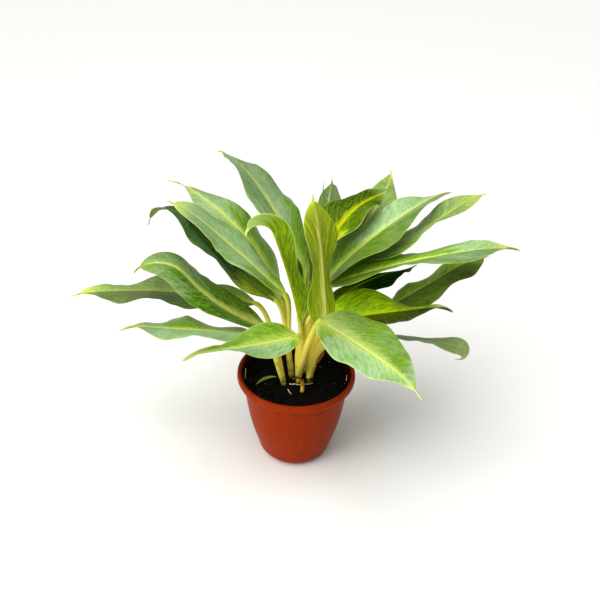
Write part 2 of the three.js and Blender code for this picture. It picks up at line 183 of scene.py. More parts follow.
def closed_sheet(top: np.ndarray, bottom: np.ndarray, values: dict[str, np.ndarray]) -> Shell:
    """Closes two matching grids into a thin body: top quads, the same below turned round, and a rim.

    Args:
        top: The upper grid, rows by columns by 3, whose columns run to the right and rows away.
        bottom: The lower grid, the same shape.
        values: Named grids of values, which both faces get.

    Returns:
        The shell, with slot 0 for the top and the rim, and 1 for the bottom.
    """
    rows, columns = top.shape[:2]
    count = rows * columns
    i = np.arange(count).reshape(rows, columns)
    quads = np.stack([i[:-1, :-1], i[:-1, 1:], i[1:, 1:], i[1:, :-1]], -1).reshape(-1, 4)
    rim = np.concatenate([i[0, :-1], i[:-1, -1], i[-1, :0:-1], i[:0:-1, 0]])
    ahead = np.roll(rim, -1)
    wall = np.stack([ahead, rim, rim + count, ahead + count], -1)
    faces = np.concatenate([quads, wall, quads[:, ::-1] + count])
    slots = np.zeros(len(faces), int)
    slots[len(quads) + len(wall):] = 1
    doubled = {name: np.concatenate([v.reshape(count, -1)] * 2) for name, v in values.items()}
    points = np.concatenate([top.reshape(-1, 3), bottom.reshape(-1, 3)])
    return Shell(points, faces.tolist(), doubled, slots)


def closed_rings(rings: np.ndarray, start: np.ndarray, end: np.ndarray,
                 values: dict[str, np.ndarray]) -> Shell:
    """Closes a stack of rings into a body: quads between neighbours, and a fan to a point at each end.

    Args:
        rings: Rings by points by 3. The points run round to the left, seen from the end towards the start.
        start: The point that closes the first ring.
        end: The point that closes the last ring.
        values: Named values, rings by points.

    Returns:
        The shell.
    """
    count, around = rings.shape[:2]
    i = np.arange(count * around).reshape(count, around)
    turned = np.roll(i, -1, 1)
    quads = np.stack([i[:-1], turned[:-1], turned[1:], i[1:]], -1).reshape(-1, 4).tolist()
    first, last = count * around, count * around + 1
    fans = [[first, int(b), int(a)] for a, b in zip(i[0], turned[0])]
    fans += [[last, int(a), int(b)] for a, b in zip(i[-1], turned[-1])]
    kept = {}
    for name, value in values.items():
        flat = value.reshape(count * around, -1)
        kept[name] = np.concatenate([flat, flat[:1], flat[-1:]])
    return Shell(np.concatenate([rings.reshape(-1, 3), [start, end]]), quads + fans, kept)


def make_piece(name: str, shell: Shell, materials: list[bpy.types.Material]) -> bpy.types.Object:
    """Makes a smooth mesh object at the origin from a shell, rides it on the plant and reports it.

    Args:
        name: The piece's name.
        shell: Its points, faces and values.
        materials: Its materials, by slot.

    Returns:
        The new object.
    """
    mesh = bpy.data.meshes.new(name)
    mesh.from_pydata((shell.points * MM).tolist(), [], shell.faces)
    mesh.polygons.foreach_set("use_smooth", np.ones(len(mesh.polygons), bool))
    if shell.slots is not None:
        mesh.polygons.foreach_set("material_index", shell.slots)
    for key, value in shell.values.items():
        if value.shape[1] == 3:
            mesh.attributes.new(key, "FLOAT_VECTOR", "POINT").data.foreach_set("vector", value.ravel())
        else:
            mesh.attributes.new(key, "FLOAT", "POINT").data.foreach_set("value", value.ravel())
    mesh.update()
    piece = bpy.data.objects.new(name, mesh)
    for material in materials:
        mesh.materials.append(material)
    bpy.context.scene.collection.objects.link(piece)
    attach(piece, "root")
    LOG.info("made %s with %d points", name, len(mesh.vertices))
    return piece


def new_material(name: str) -> tuple[bpy.types.Material, bpy.types.NodeTree]:
    """Makes an empty node material.

    Args:
        name: The material's name.

    Returns:
        The material and its node tree.
    """
    material = bpy.data.materials.new(name)
    material.use_nodes = True
    material.node_tree.nodes.clear()
    return material, material.node_tree


# Finishes.


Coat = tuple[bpy.types.NodeSocket, str]


def coated(tree: bpy.types.NodeTree, colour: object, coats: list[Coat]) -> bpy.types.NodeSocket:
    """Lays coats of colour one over another.

    Args:
        tree: The material's node tree.
        colour: The colour underneath, as a socket or a linear colour.
        coats: How much of each coat shows, and its hex colour, from the lowest up.

    Returns:
        The colour that shows in the end.
    """
    for share, paint in coats:
        colour = add_node(tree, "ShaderNodeMix", {
            0: share, "A": colour, "B": linear(paint)}, data_type="RGBA").outputs["Result"]
    return colour


@dataclass(frozen=True)
class Pattern:
    """A random pattern in a skin: the size of its patches in mm, and how broken up and bent they are."""

    size: Place
    detail: float
    roughness: float = 0.5
    distortion: float = 0.0
    start: Point = (0, 0, 0)

    def values(self, tree: bpy.types.NodeTree, grain: bpy.types.NodeSocket) -> bpy.types.NodeSocket:
        """Adds the pattern to a material.

        Args:
            tree: The material's node tree.
            grain: Places over the surface, in mm.

        Returns:
            The pattern's values, from 0 to 1.
        """
        first, second = self.size
        scaled = add_node(tree, "ShaderNodeMapping", {
            "Vector": grain, "Scale": (1 / first, 1 / second, 1), "Location": self.start})
        return add_node(tree, "ShaderNodeTexNoise", {
            "Vector": scaled.outputs[0], "Scale": 1.0, "Detail": self.detail, "Roughness": self.roughness,
            "Distortion": self.distortion}).outputs["Fac"]


# A blade's patterns are sized across its side veins first, and then out from its midrib.
# Streaks that lie along the side veins.
STREAKS = Pattern(size=(1.6, 8), detail=4.0, roughness=0.65, distortion=0.7)
# Marbling: dark blotches.
BLOTCHES = Pattern(size=(3, 5), detail=4.0, roughness=0.7, distortion=0.5, start=(7, 3, 5))
# Cloudy patches, where the painted sky reflection is thicker.
PATCHES = Pattern(size=(30, 15), detail=2.0)
# Flecks of paler tissue, thick beside the midrib.
FLECKS = Pattern(size=(1.9, 1.1), detail=2.0, roughness=0.7)
# Cells of the skin, drawn at 0.5 mm because real ones are too fine to show.
CELLS = Pattern(size=(0.5, 0.5), detail=1.0)
# Streaks in a petiole, 25 mm long and 0.9 mm wide.
STALK_STREAKS = Pattern(size=(25, 0.9), detail=2.0)


class Tone(Enum):
    """How a blade's face looks in the light it grows in."""

    SILVERY = "silvery"
    FRESH = "fresh"
    GRASSY = "grassy"
    DEEP = "deep"
    DUSTY = "dusty"
    OLIVE = "olive"
    LIT = "lit"
    BACKLIT = "backlit"
    STRIPED = "striped"
    NIGHT = "night"
    SHADED = "shaded"


@dataclass(frozen=True)
class BladeFinish:
    """The skin of a leathery leaf blade: waxy, over cells whose pale and dark streaks follow the side veins.

    The waxy skin gives a broad, soft shine. A pale grey-green laid over the green is a painted sky
    reflection on the upturned faces, and near the petiole, where other leaves shade that reflection off,
    painted shade leaves a plain green. The pale midrib bleeds out along the side veins, and the drip tip and
    the very margin are yellow-green. dark and light are the streaks' colours, painted_sheen the painted
    reflection's, base the plain green's in the painted shade near the petiole, and mottle is how much darker
    the marbling is. feather is how much of the rib's colour shows beside it.
    """

    name: str
    dark: str
    light: str
    painted_sheen: str
    painted_sheen_share: float
    base: str
    base_share: float
    rib: str
    rib_share: float
    feather: float
    tip: str
    vein: str
    vein_share: float
    roughness: float
    gloss: float
    mottle: float

    def material(self) -> bpy.types.Material:
        """Builds the blade's material from the values that its points carry.

        Returns:
            The material.
        """
        material, tree = new_material(self.name)
        grain = add_node(tree, "ShaderNodeAttribute", attribute_name="grain").outputs["Vector"]
        rib, reach, share, margin, vein, inner, painted_light_and_tone = (
            add_node(tree, "ShaderNodeAttribute", attribute_name=name).outputs["Fac"]
            for name in ("rib", "reach", "share", "margin", "vein", "inner", "painted_light_and_tone"))
        streak, blotch, patch, spot, cell = (
            pattern.values(tree, grain) for pattern in (STREAKS, BLOTCHES, PATCHES, FLECKS, CELLS))

        line = self.side_veins(tree, streak, vein)
        marked = coated(tree, self.green(tree, streak, blotch, patch, inner), [
            (line, self.vein),
            *((shown, self.rib) for shown in self.rib_shares(tree, streak, spot, rib, reach, share)),
            *((shown, self.tip) for shown in self.tip_shares(tree, share, margin)),
        ])
        # Painted light and shade: each leaf is made lighter or darker along its length and on either half,
        # partly for its own tone and partly for how the light falls on it.
        shaded = add_node(tree, "ShaderNodeMix", {
            0: 1.0, "A": marked, "B": painted_light_and_tone}, data_type="RGBA", blend_type="MULTIPLY")

        shine = add_node(tree, "ShaderNodeMapRange", {
            "Value": patch, "From Min": 0.3, "From Max": 0.7, "To Min": self.roughness - 0.06,
            "To Max": self.roughness + 0.08})
        # The side veins are sunk a little, between the skin's cells.
        relief = add_node(tree, "ShaderNodeMath", {0: line, 1: -1.2, 2: cell}, operation="MULTIPLY_ADD")
        bump = add_node(tree, "ShaderNodeBump", {
            "Height": relief.outputs[0], "Strength": 0.35, "Distance": 0.25 * MM})
        shader = add_node(tree, "ShaderNodeBsdfPrincipled", {
            "Base Color": shaded.outputs["Result"], "Roughness": shine.outputs[0], "Normal": bump.outputs[0],
            "Specular IOR Level": self.gloss, "IOR": 1.45})
        add_node(tree, "ShaderNodeOutputMaterial", {"Surface": shader.outputs[0]})
        return material

    def green(self, tree: bpy.types.NodeTree, streak: bpy.types.NodeSocket, blotch: bpy.types.NodeSocket,
              patch: bpy.types.NodeSocket, inner: bpy.types.NodeSocket) -> bpy.types.NodeSocket:
        """The streaked green with its painted sky reflection, the painted shade near the petiole, and its
        marbling.

        Args:
            tree: The material's node tree.
            streak: The streaks' values.
            blotch: The blotches' values.
            patch: The cloudy patches' values.
            inner: The share of the way from the neck to where the painted shade near the petiole ends.

        Returns:
            Its colour.
        """
        tone = add_node(tree, "ShaderNodeMapRange", {
            "Value": streak, "From Min": 0.32, "From Max": 0.66}, interpolation_type="SMOOTHSTEP")
        # Painted shade near the petiole keeps the painted sky reflection off, and a plain green shows there.
        worn_and_painted_shade_reach = add_node(tree, "ShaderNodeMath", {0: patch, 1: 1.6, 2: inner}, operation="MULTIPLY_ADD")
        painted_shade_near_neck = add_node(tree, "ShaderNodeMapRange", {
            "Value": worn_and_painted_shade_reach.outputs[0], "From Min": 1.85, "From Max": 1.5}, interpolation_type="SMOOTHSTEP")
        # The painted sky reflection, thicker in the cloudy patches.
        thick = add_node(tree, "ShaderNodeMapRange", {
            "Value": patch, "From Min": 0.3, "From Max": 0.62, "To Min": self.painted_sheen_share * 0.6,
            "To Max": self.painted_sheen_share}, interpolation_type="SMOOTHSTEP")
        kept = add_node(tree, "ShaderNodeMath", {
            0: painted_shade_near_neck.outputs[0], 1: -0.9, 2: 1.0}, operation="MULTIPLY_ADD")
        painted_sheen_cover = add_node(tree, "ShaderNodeMath", {
            0: thick.outputs[0], 1: kept.outputs[0]}, operation="MULTIPLY")
        tinted = add_node(tree, "ShaderNodeMath", {
            0: painted_shade_near_neck.outputs[0], 1: self.base_share}, operation="MULTIPLY")
        skin = coated(tree, linear(self.dark), [
            (tone.outputs[0], self.light), (painted_sheen_cover.outputs[0], self.painted_sheen), (tinted.outputs[0], self.base)])
        marbled = add_node(tree, "ShaderNodeMapRange", {
            "Value": blotch, "From Min": 0.36, "From Max": 0.6, "To Min": 1 - self.mottle,
            "To Max": 1 + 0.4 * self.mottle}, interpolation_type="SMOOTHSTEP")
        return add_node(tree, "ShaderNodeMix", {
            0: 1.0, "A": skin, "B": marbled.outputs[0]}, data_type="RGBA",
            blend_type="MULTIPLY").outputs["Result"]

    def side_veins(self, tree: bpy.types.NodeTree, streak: bpy.types.NodeSocket,
                   vein: bpy.types.NodeSocket) -> bpy.types.NodeSocket:
        """The side veins: fine pale lines every 6 mm, bent a little by the streaks.

        Args:
            tree: The material's node tree.
            streak: The streaks' values.
            vein: The distance across the side veins, in mm.

        Returns:
            How much of the vein's colour shows.
        """
        bent = add_node(tree, "ShaderNodeMath", {0: streak, 1: 2.4, 2: vein}, operation="MULTIPLY_ADD")
        nearest = add_node(tree, "ShaderNodeMath", {0: bent.outputs[0], 1: 3.0}, operation="PINGPONG")
        return add_node(tree, "ShaderNodeMapRange", {
            "Value": nearest.outputs[0], "From Min": 0.6, "From Max": 0.1, "To Min": 0.0,
            "To Max": self.vein_share}, interpolation_type="SMOOTHSTEP").outputs[0]

    def rib_shares(self, tree: bpy.types.NodeTree, streak: bpy.types.NodeSocket, spot: bpy.types.NodeSocket,
                   rib: bpy.types.NodeSocket, reach: bpy.types.NodeSocket,
                   share: bpy.types.NodeSocket) -> list[bpy.types.NodeSocket]:
        """Where the midrib's pale colour shows: beside the rib, on it, at the throat, and in the flecks.

        Args:
            tree: The material's node tree.
            streak: The streaks' values.
            spot: The flecks' values.
            rib: The distance from the rib's middle, in widths of the rib.
            reach: The same, in lengths that the rib's colour bleeds.
            share: The share of the blade's length.

        Returns:
            How much of the colour shows, for each of the four.
        """
        # It runs out along the streaks, further where they are pale.
        ragged = add_node(tree, "ShaderNodeMath", {0: streak, 1: -1.5, 2: reach}, operation="MULTIPLY_ADD")
        feather = add_node(tree, "ShaderNodeMapRange", {
            "Value": ragged.outputs[0], "From Min": 0.25, "From Max": -0.75, "To Min": 0.0,
            "To Max": self.feather}, interpolation_type="SMOOTHSTEP")
        core = add_node(tree, "ShaderNodeMapRange", {
            "Value": rib, "From Min": 1.25, "From Max": 0.55, "To Min": 0.0, "To Max": self.rib_share},
            interpolation_type="SMOOTHSTEP")
        fading = add_node(tree, "ShaderNodeMapRange", {
            "Value": share, "From Min": 0.4, "From Max": 0.92, "To Min": 1.0, "To Max": 0.3})
        faded = add_node(tree, "ShaderNodeMath", {
            0: core.outputs[0], 1: fading.outputs[0]}, operation="MULTIPLY")
        # The first tenth of the blade pales towards the petiole.
        throat = add_node(tree, "ShaderNodeMapRange", {
            "Value": share, "From Min": 0.11, "From Max": 0.0, "To Min": 0.0, "To Max": 0.5},
            interpolation_type="SMOOTHSTEP")
        # A fleck needs a brighter grain of the pattern the further it lies from the midrib.
        distant = add_node(tree, "ShaderNodeMath", {0: reach, 1: -0.02, 2: spot}, operation="MULTIPLY_ADD")
        fleck = add_node(tree, "ShaderNodeMapRange", {
            "Value": distant.outputs[0], "From Min": 0.52, "From Max": 0.64, "To Min": 0.0,
            "To Max": 0.6 * self.feather}, interpolation_type="SMOOTHSTEP")
        return [feather.outputs[0], faded.outputs[0], throat.outputs[0], fleck.outputs[0]]

    def tip_shares(self, tree: bpy.types.NodeTree, share: bpy.types.NodeSocket,
                   margin: bpy.types.NodeSocket) -> list[bpy.types.NodeSocket]:
        """Where the tip's colour shows: over the drip tip, and along a hem about 1 mm wide.

        Args:
            tree: The material's node tree.
            share: The share of the blade's length.
            margin: The distance from the margin, in mm.

        Returns:
            How much of the colour shows, for both.
        """
        ended = add_node(tree, "ShaderNodeMapRange", {
            "Value": share, "From Min": 0.77, "From Max": 0.96, "To Min": 0.0, "To Max": 0.85},
            interpolation_type="SMOOTHSTEP")
        hem = add_node(tree, "ShaderNodeMapRange", {
            "Value": margin, "From Min": 1.3, "From Max": 0.3, "To Min": 0.0, "To Max": 0.55},
            interpolation_type="SMOOTHSTEP")
        return [ended.outputs[0], hem.outputs[0]]


BLADE_FINISHES: dict[Tone, BladeFinish] = {
    # Most of this grey-green is a painted sky reflection on upturned faces.
    Tone.SILVERY: BladeFinish(
        "leaf_blade_silvery", dark="#346408", light="#80aa2c", painted_sheen="#90b17e", painted_sheen_share=0.84,
        base="#6a9400", base_share=0.6, rib="#cfdd6c", rib_share=0.75, feather=0.5, tip="#bccf64",
        vein="#9dba76", vein_share=0.1, roughness=0.4, gloss=0.4, mottle=0.22),
    Tone.FRESH: BladeFinish(
        "leaf_blade_fresh", dark="#406e08", light="#92b640", painted_sheen="#96b46a", painted_sheen_share=0.66,
        base="#6a9808", base_share=0.4, rib="#d2e064", rib_share=0.75, feather=0.55, tip="#c6d85c",
        vein="#9cbb58", vein_share=0.1, roughness=0.42, gloss=0.3, mottle=0.3),
    Tone.GRASSY: BladeFinish(
        "leaf_blade_grassy", dark="#1c4400", light="#6c9c10", painted_sheen="#84a266", painted_sheen_share=0.8,
        base="#447200", base_share=0.45, rib="#d9e478", rib_share=0.7, feather=0.8, tip="#7f9c3c",
        vein="#6c9224", vein_share=0.1, roughness=0.42, gloss=0.2, mottle=0.35),
    # Painted shade: a dark green for a leaf that lies in the shade of the one above it.
    Tone.DEEP: BladeFinish(
        "leaf_blade_deep", dark="#183604", light="#48682c", painted_sheen="#456a3e", painted_sheen_share=0.6,
        base="#a4b82c", base_share=0.88, rib="#8ea84a", rib_share=0.6, feather=0.35, tip="#7c861c",
        vein="#4a6c2c", vein_share=0.1, roughness=0.46, gloss=0.1, mottle=0.4),
    # Painted deep shadow: a near-black green for a leaf that lies in the shade of those above it.
    Tone.NIGHT: BladeFinish(
        "leaf_blade_painted_deep_shadow", dark="#0c2400", light="#1f4404", painted_sheen="#20460c", painted_sheen_share=0.2, base="#6c7c0c",
        base_share=0.8, rib="#a8b838", rib_share=0.85, feather=0.35, tip="#4c6a1c", vein="#1e3a08",
        vein_share=0.1, roughness=0.5, gloss=0.0, mottle=0.3),
    Tone.DUSTY: BladeFinish(
        "leaf_blade_dusty", dark="#5e7638", light="#7e9652", painted_sheen="#849c5e", painted_sheen_share=0.6,
        base="#5c6a2a", base_share=0.6, rib="#9cb06a", rib_share=0.45, feather=0.2, tip="#98b05c",
        vein="#8ca460", vein_share=0.12, roughness=0.5, gloss=0.3, mottle=0.2),
    Tone.OLIVE: BladeFinish(
        "leaf_blade_olive_underside", dark="#6a8800", light="#a2ba14", painted_sheen="#98b028", painted_sheen_share=0.3,
        base="#8a9c00", base_share=0.4, rib="#ccd05c", rib_share=0.7, feather=0.3, tip="#aec030",
        vein="#b8c63c", vein_share=0.25, roughness=0.5, gloss=0.12, mottle=0.3),
    Tone.STRIPED: BladeFinish(
        "leaf_blade_striped_underside", dark="#4c6600", light="#a8bc20", painted_sheen="#a0b02c", painted_sheen_share=0.2,
        base="#8cac06", base_share=0.5, rib="#dcd870", rib_share=0.8, feather=0.6, tip="#aec030",
        vein="#4c6402", vein_share=0.3, roughness=0.5, gloss=0.1, mottle=0.35),
    Tone.LIT: BladeFinish(
        "leaf_blade_lit_through", dark="#466c00", light="#84a206", painted_sheen="#86a210", painted_sheen_share=0.2,
        base="#628600", base_share=0.35, rib="#c4d208", rib_share=0.6, feather=0.4, tip="#c4de80",
        vein="#a4bc10", vein_share=0.08, roughness=0.46, gloss=0.1, mottle=0.35),
    Tone.BACKLIT: BladeFinish(
        "leaf_blade_backlit", dark="#2c4e00", light="#5f8402", painted_sheen="#7c9a10", painted_sheen_share=0.05,
        base="#bcd010", base_share=0.75, rib="#ccd800", rib_share=0.9, feather=0.8, tip="#b8d474",
        vein="#a4bc10", vein_share=0.1, roughness=0.46, gloss=0.08, mottle=0.6),
    Tone.SHADED: BladeFinish(
        "leaf_blade_painted_light_and_toned_underside", dark="#34480a", light="#64801a", painted_sheen="#6e8a34", painted_sheen_share=0.3,
        base="#4c6204", base_share=0.5, rib="#a2b848", rib_share=0.65, feather=0.3, tip="#94aa48",
        vein="#768e24", vein_share=0.12, roughness=0.5, gloss=0.12, mottle=0.3),
}


@dataclass(frozen=True)
class PetioleFinish:
    """The smooth, fleshy skin of a petiole: cream at the foot, greener at the blade, with fine long streaks.

    Brown specks and scars gather where the old sheaths have dried, near the soil.
    """

    name: str
    foot: str
    neck: str
    streak: str
    scar: str
    scar_share: float
    smear_share: float = 0.8
    smear: str = "#24150a"

    def material(self) -> bpy.types.Material:
        """Builds the petiole's material.

        Returns:
            The material.
        """
        material, tree = new_material(self.name)
        share = add_node(tree, "ShaderNodeAttribute", attribute_name="share").outputs["Fac"]
        grain = add_node(tree, "ShaderNodeAttribute", attribute_name="grain").outputs["Vector"]
        place = add_node(tree, "ShaderNodeTexCoord").outputs["Object"]
        height = add_node(tree, "ShaderNodeSeparateXYZ", {0: place}).outputs["Z"]
        streak = STALK_STREAKS.values(tree, grain)
        along = add_node(tree, "ShaderNodeMapRange", {
            "Value": share, "From Min": 0.25, "From Max": 1.0}, interpolation_type="SMOOTHSTEP")
        streaked = add_node(tree, "ShaderNodeMapRange", {
            "Value": streak, "From Min": 0.45, "From Max": 0.7, "To Max": 0.55},
            interpolation_type="SMOOTHSTEP")
        # Brown specks and scars, about 5 mm across at the most, within 45 mm of the soil.
        speck = add_node(tree, "ShaderNodeTexNoise", {
            "Vector": place, "Scale": 190.0, "Detail": 4.0}).outputs["Fac"]
        low = add_node(tree, "ShaderNodeMapRange", {
            "Value": height, "From Min": 140 * MM, "From Max": 94 * MM, "To Min": 0.0, "To Max": 0.16})
        near = add_node(tree, "ShaderNodeMath", {0: speck, 1: low.outputs[0]}, operation="ADD")
        specked = add_node(tree, "ShaderNodeMapRange", {
            "Value": near.outputs[0], "From Min": 0.7, "From Max": 0.76, "To Max": self.scar_share},
            interpolation_type="SMOOTHSTEP")
        # Damp mix clings to the lowest few millimetres, up to a ragged line.
        ragged = add_node(tree, "ShaderNodeMath", {
            0: speck, 1: -20 * MM, 2: height}, operation="MULTIPLY_ADD")
        damp = add_node(tree, "ShaderNodeMapRange", {
            "Value": ragged.outputs[0], "From Min": 92 * MM, "From Max": 85 * MM, "To Min": 0.0,
            "To Max": self.smear_share}, interpolation_type="SMOOTHSTEP")
        skin = coated(tree, linear(self.foot), [
            (along.outputs[0], self.neck), (streaked.outputs[0], self.streak),
            (specked.outputs[0], self.scar), (damp.outputs[0], self.smear)])
        bump = add_node(tree, "ShaderNodeBump", {"Height": streak, "Strength": 0.3, "Distance": 0.3 * MM})
        shader = add_node(tree, "ShaderNodeBsdfPrincipled", {
            "Base Color": skin, "Roughness": 0.42, "Normal": bump.outputs[0], "Specular IOR Level": 0.25,
            "IOR": 1.45})
        add_node(tree, "ShaderNodeOutputMaterial", {"Surface": shader.outputs[0]})
        return material


@dataclass(frozen=True)
class MouldedPlasticFinish:
    """Injection-moulded polypropylene, terracotta orange: a satin skin with faint flow marks."""

    name: str
    base: str
    worn_and_painted_shade_reach: str
    smear: str
    roughness: float

    def material(self) -> bpy.types.Material:
        """Builds the pot's material.

        Returns:
            The material.
        """
        material, tree = new_material(self.name)
        place = add_node(tree, "ShaderNodeTexCoord").outputs["Object"]
        # Flow marks: soft upright streaks about 7 mm wide and 70 mm long, from the gate in the base.
        flow = add_node(tree, "ShaderNodeMapping", {"Vector": place, "Scale": (150, 150, 14)})
        marks = add_node(tree, "ShaderNodeTexNoise", {
            "Vector": flow.outputs[0], "Scale": 1.0, "Detail": 3.0}).outputs["Fac"]
        tint = add_node(tree, "ShaderNodeMapRange", {
            "Value": marks, "From Min": 0.35, "From Max": 0.75, "To Max": 0.35},
            interpolation_type="SMOOTHSTEP")
        # The moulded grain, drawn at 0.7 mm because the real one is too fine to show.
        grain = add_node(tree, "ShaderNodeTexNoise", {
            "Vector": place, "Scale": 1400.0, "Detail": 2.0}).outputs["Fac"]
        shine = add_node(tree, "ShaderNodeMapRange", {
            "Value": marks, "To Min": self.roughness - 0.06, "To Max": self.roughness + 0.1})
        bump = add_node(tree, "ShaderNodeBump", {"Height": grain, "Strength": 0.12, "Distance": 0.2 * MM})
        # The inside of the wall is darkened nearly to black, up to a ragged line under the lip.
        inside = add_node(tree, "ShaderNodeAttribute", attribute_name="inside").outputs["Fac"]
        height = add_node(tree, "ShaderNodeSeparateXYZ", {0: place}).outputs["Z"]
        line_noise = add_node(tree, "ShaderNodeTexNoise", {
            "Vector": place, "Scale": 160.0, "Detail": 3.0}).outputs["Fac"]
        ragged = add_node(tree, "ShaderNodeMath", {
            0: line_noise, 1: -4 * MM, 2: height}, operation="MULTIPLY_ADD")
        darkened_to_line = add_node(tree, "ShaderNodeMapRange", {
            "Value": ragged.outputs[0], "From Min": 102.2 * MM, "From Max": 100.8 * MM, "To Min": 0.0,
            "To Max": 0.96}, interpolation_type="SMOOTHSTEP")
        darkened_inside = add_node(tree, "ShaderNodeMath", {
            0: darkened_to_line.outputs[0], 1: inside}, operation="MULTIPLY")
        skin = coated(tree, linear(self.base), [
            (tint.outputs[0], self.worn_and_painted_shade_reach), (darkened_inside.outputs[0], self.smear)])
        shader = add_node(tree, "ShaderNodeBsdfPrincipled", {
            "Base Color": skin, "Roughness": shine.outputs[0], "Normal": bump.outputs[0],
            "Specular IOR Level": 0.04, "IOR": 1.49})
        add_node(tree, "ShaderNodeOutputMaterial", {"Surface": shader.outputs[0]})
        return material


@dataclass(frozen=True)
class MixFinish:
    """A matt, crumbly or fibrous surface in two colours, such as damp potting mix, bark, or a dry root.

    dark is the ground's colour and light the patches', which are the paler on mix and bark and the browner
    on roots and bracts.
    """

    name: str
    dark: str
    light: str
    grit: float
    light_share: float
    roughness: float

    def material(self) -> bpy.types.Material:
        """Builds the material, with grit given as the patches' size in mm.

        Returns:
            The material.
        """
        material, tree = new_material(self.name)
        place = add_node(tree, "ShaderNodeTexCoord").outputs["Object"]
        noise = add_node(tree, "ShaderNodeTexNoise", {
            "Vector": place, "Scale": 1 / (self.grit * MM), "Detail": 4.0, "Roughness": 0.65}).outputs["Fac"]
        mixed = add_node(tree, "ShaderNodeMapRange", {
            "Value": noise, "From Min": 0.45, "From Max": 0.75, "To Max": self.light_share},
            interpolation_type="SMOOTHSTEP")
        colour = coated(tree, linear(self.dark), [(mixed.outputs[0], self.light)])
        bump = add_node(tree, "ShaderNodeBump", {"Height": noise, "Strength": 0.5, "Distance": 0.4 * MM})
        shader = add_node(tree, "ShaderNodeBsdfPrincipled", {
            "Base Color": colour, "Roughness": self.roughness, "Normal": bump.outputs[0],
            "Specular IOR Level": 0.1})
        add_node(tree, "ShaderNodeOutputMaterial", {"Surface": shader.outputs[0]})
        return material


# The stems, and the blades that grow from them.


@dataclass(frozen=True)
class Shoot:
    """A short sheathed stem: where it leaves the soil, the point that it leans to, and its radius, in mm."""

    foot: Place
    lean: Point
    radius: float


SHOOTS: dict[str, Shoot] = {
    "left": Shoot(foot=(-11, -9), lean=(-28, -8, 142), radius=3.6),
    "middle_left": Shoot(foot=(-4, 3), lean=(-13, 6, 150), radius=3.8),
    "centre": Shoot(foot=(2, -5), lean=(4, -9, 150), radius=3.6),
    "right": Shoot(foot=(13, -2), lean=(22, 0, 148), radius=4.2),
    "back": Shoot(foot=(8, 11), lean=(12, 20, 150), radius=3.8),
}


@dataclass(frozen=True)
class Leaf:
    """One leaf's shape, in mm and degrees, with its tones.

    neck is where the blade starts, and stalk, where given, is the point that its petiole bends towards.
    heading is the way the blade points at the neck seen from above, and turn is how far that swings by the
    tip. rise and fall are its slopes at the neck and the tip, and hook is the share of the length where an
    extra bend begins, with that bend. drip is the share that is only the drawn-out tip, and belly gives the
    powers of the outline. roll tips the blade about its rib and twist adds to that. fold lifts both sides of
    the rib and sag curls them down. wave is the margin's height, its count, and its phase on the right and
    on the left. feather is how far the rib's pale colour runs out at the neck, in mm, and
    painted_shade_near_neck the share of the length up to which painted shade keeps the painted sky
    reflection off its green. neck_bend is how far before the neck, in mm, the petiole turns into the blade's
    own direction. slant is how many millimetres a side vein runs forward for each one outward. uneven is how
    much further that painted shade reaches on the right half, and how much less far on the left.
    painted_light_and_tone is how light the green is at the neck, half way and at the tip, partly the leaf's
    own tone and partly painted light and shade, and painted_half_light is painted light and shade on the
    right and on the left half. wing is how much wider than deep the petiole is at the neck. upper and under
    are the tones of the two faces.
    """

    name: str
    shoot: str
    neck: Point
    heading: float
    turn: float
    rise: float
    fall: float
    hook: tuple[float, float]
    length: float
    width: float
    drip: float
    belly: tuple[float, float]
    roll: float
    twist: float
    fold: float
    sag: float
    wave: tuple[float, float, float, float]
    upper: Tone = Tone.SILVERY
    under: Tone = Tone.OLIVE
    feather: float = 6.0
    painted_shade_near_neck: float = 0.3
    stalk: Point | None = None
    neck_bend: float = 12.0
    slant: float = 1.6
    uneven: float = 0.0
    painted_light_and_tone: Point = (1.0, 1.0, 1.0)
    painted_half_light: Place = (1.0, 1.0)
    wing: float = 1.2

    def number(self) -> int:
        """The leaf's place in the alphabet, which sets where its grain starts."""
        return ord(self.name) - ord("A") + 1

    def direction(self, t: np.ndarray) -> np.ndarray:
        """The blade's direction at shares t: a slope and a heading that both change evenly, plus the hook.

        Args:
            t: Shares of the length.

        Returns:
            Unit vectors, one for each share.
        """
        start, bend = self.hook
        hooked = bend * np.maximum(0, (t - start) / (1 - start))
        slope = np.radians(self.rise + (self.fall - self.rise) * t + hooked)
        heading = np.radians(self.heading + self.turn * t)
        level = np.cos(slope)
        return np.stack([level * np.cos(heading), level * np.sin(heading), np.sin(slope)], -1)

    def axes(self, t: np.ndarray) -> tuple[np.ndarray, np.ndarray]:
        """The blade's side and up directions at shares t: the level right, tipped by roll and twist.

        Args:
            t: Shares of the length.

        Returns:
            The side and the up directions.
        """
        along = self.direction(t)
        heading = np.radians(self.heading + self.turn * t)
        right = np.stack([np.sin(heading), -np.cos(heading), np.zeros_like(t)], -1)
        above = np.cross(right, along)
        roll = np.radians(self.roll + self.twist * t)[:, None]
        side = right * np.cos(roll) + above * np.sin(roll)
        return side, np.cross(side, along)

    def centre_line(self, steps: int) -> np.ndarray:
        """The rib's line from the neck: the sum of short runs, each along the direction at its middle.

        Args:
            steps: How many runs.

        Returns:
            steps + 1 points.
        """
        middles = (np.arange(steps) + 0.5) / steps
        runs = self.direction(middles) * self.length / steps
        return np.array(self.neck) + np.concatenate([np.zeros((1, 3)), np.cumsum(runs, 0)])


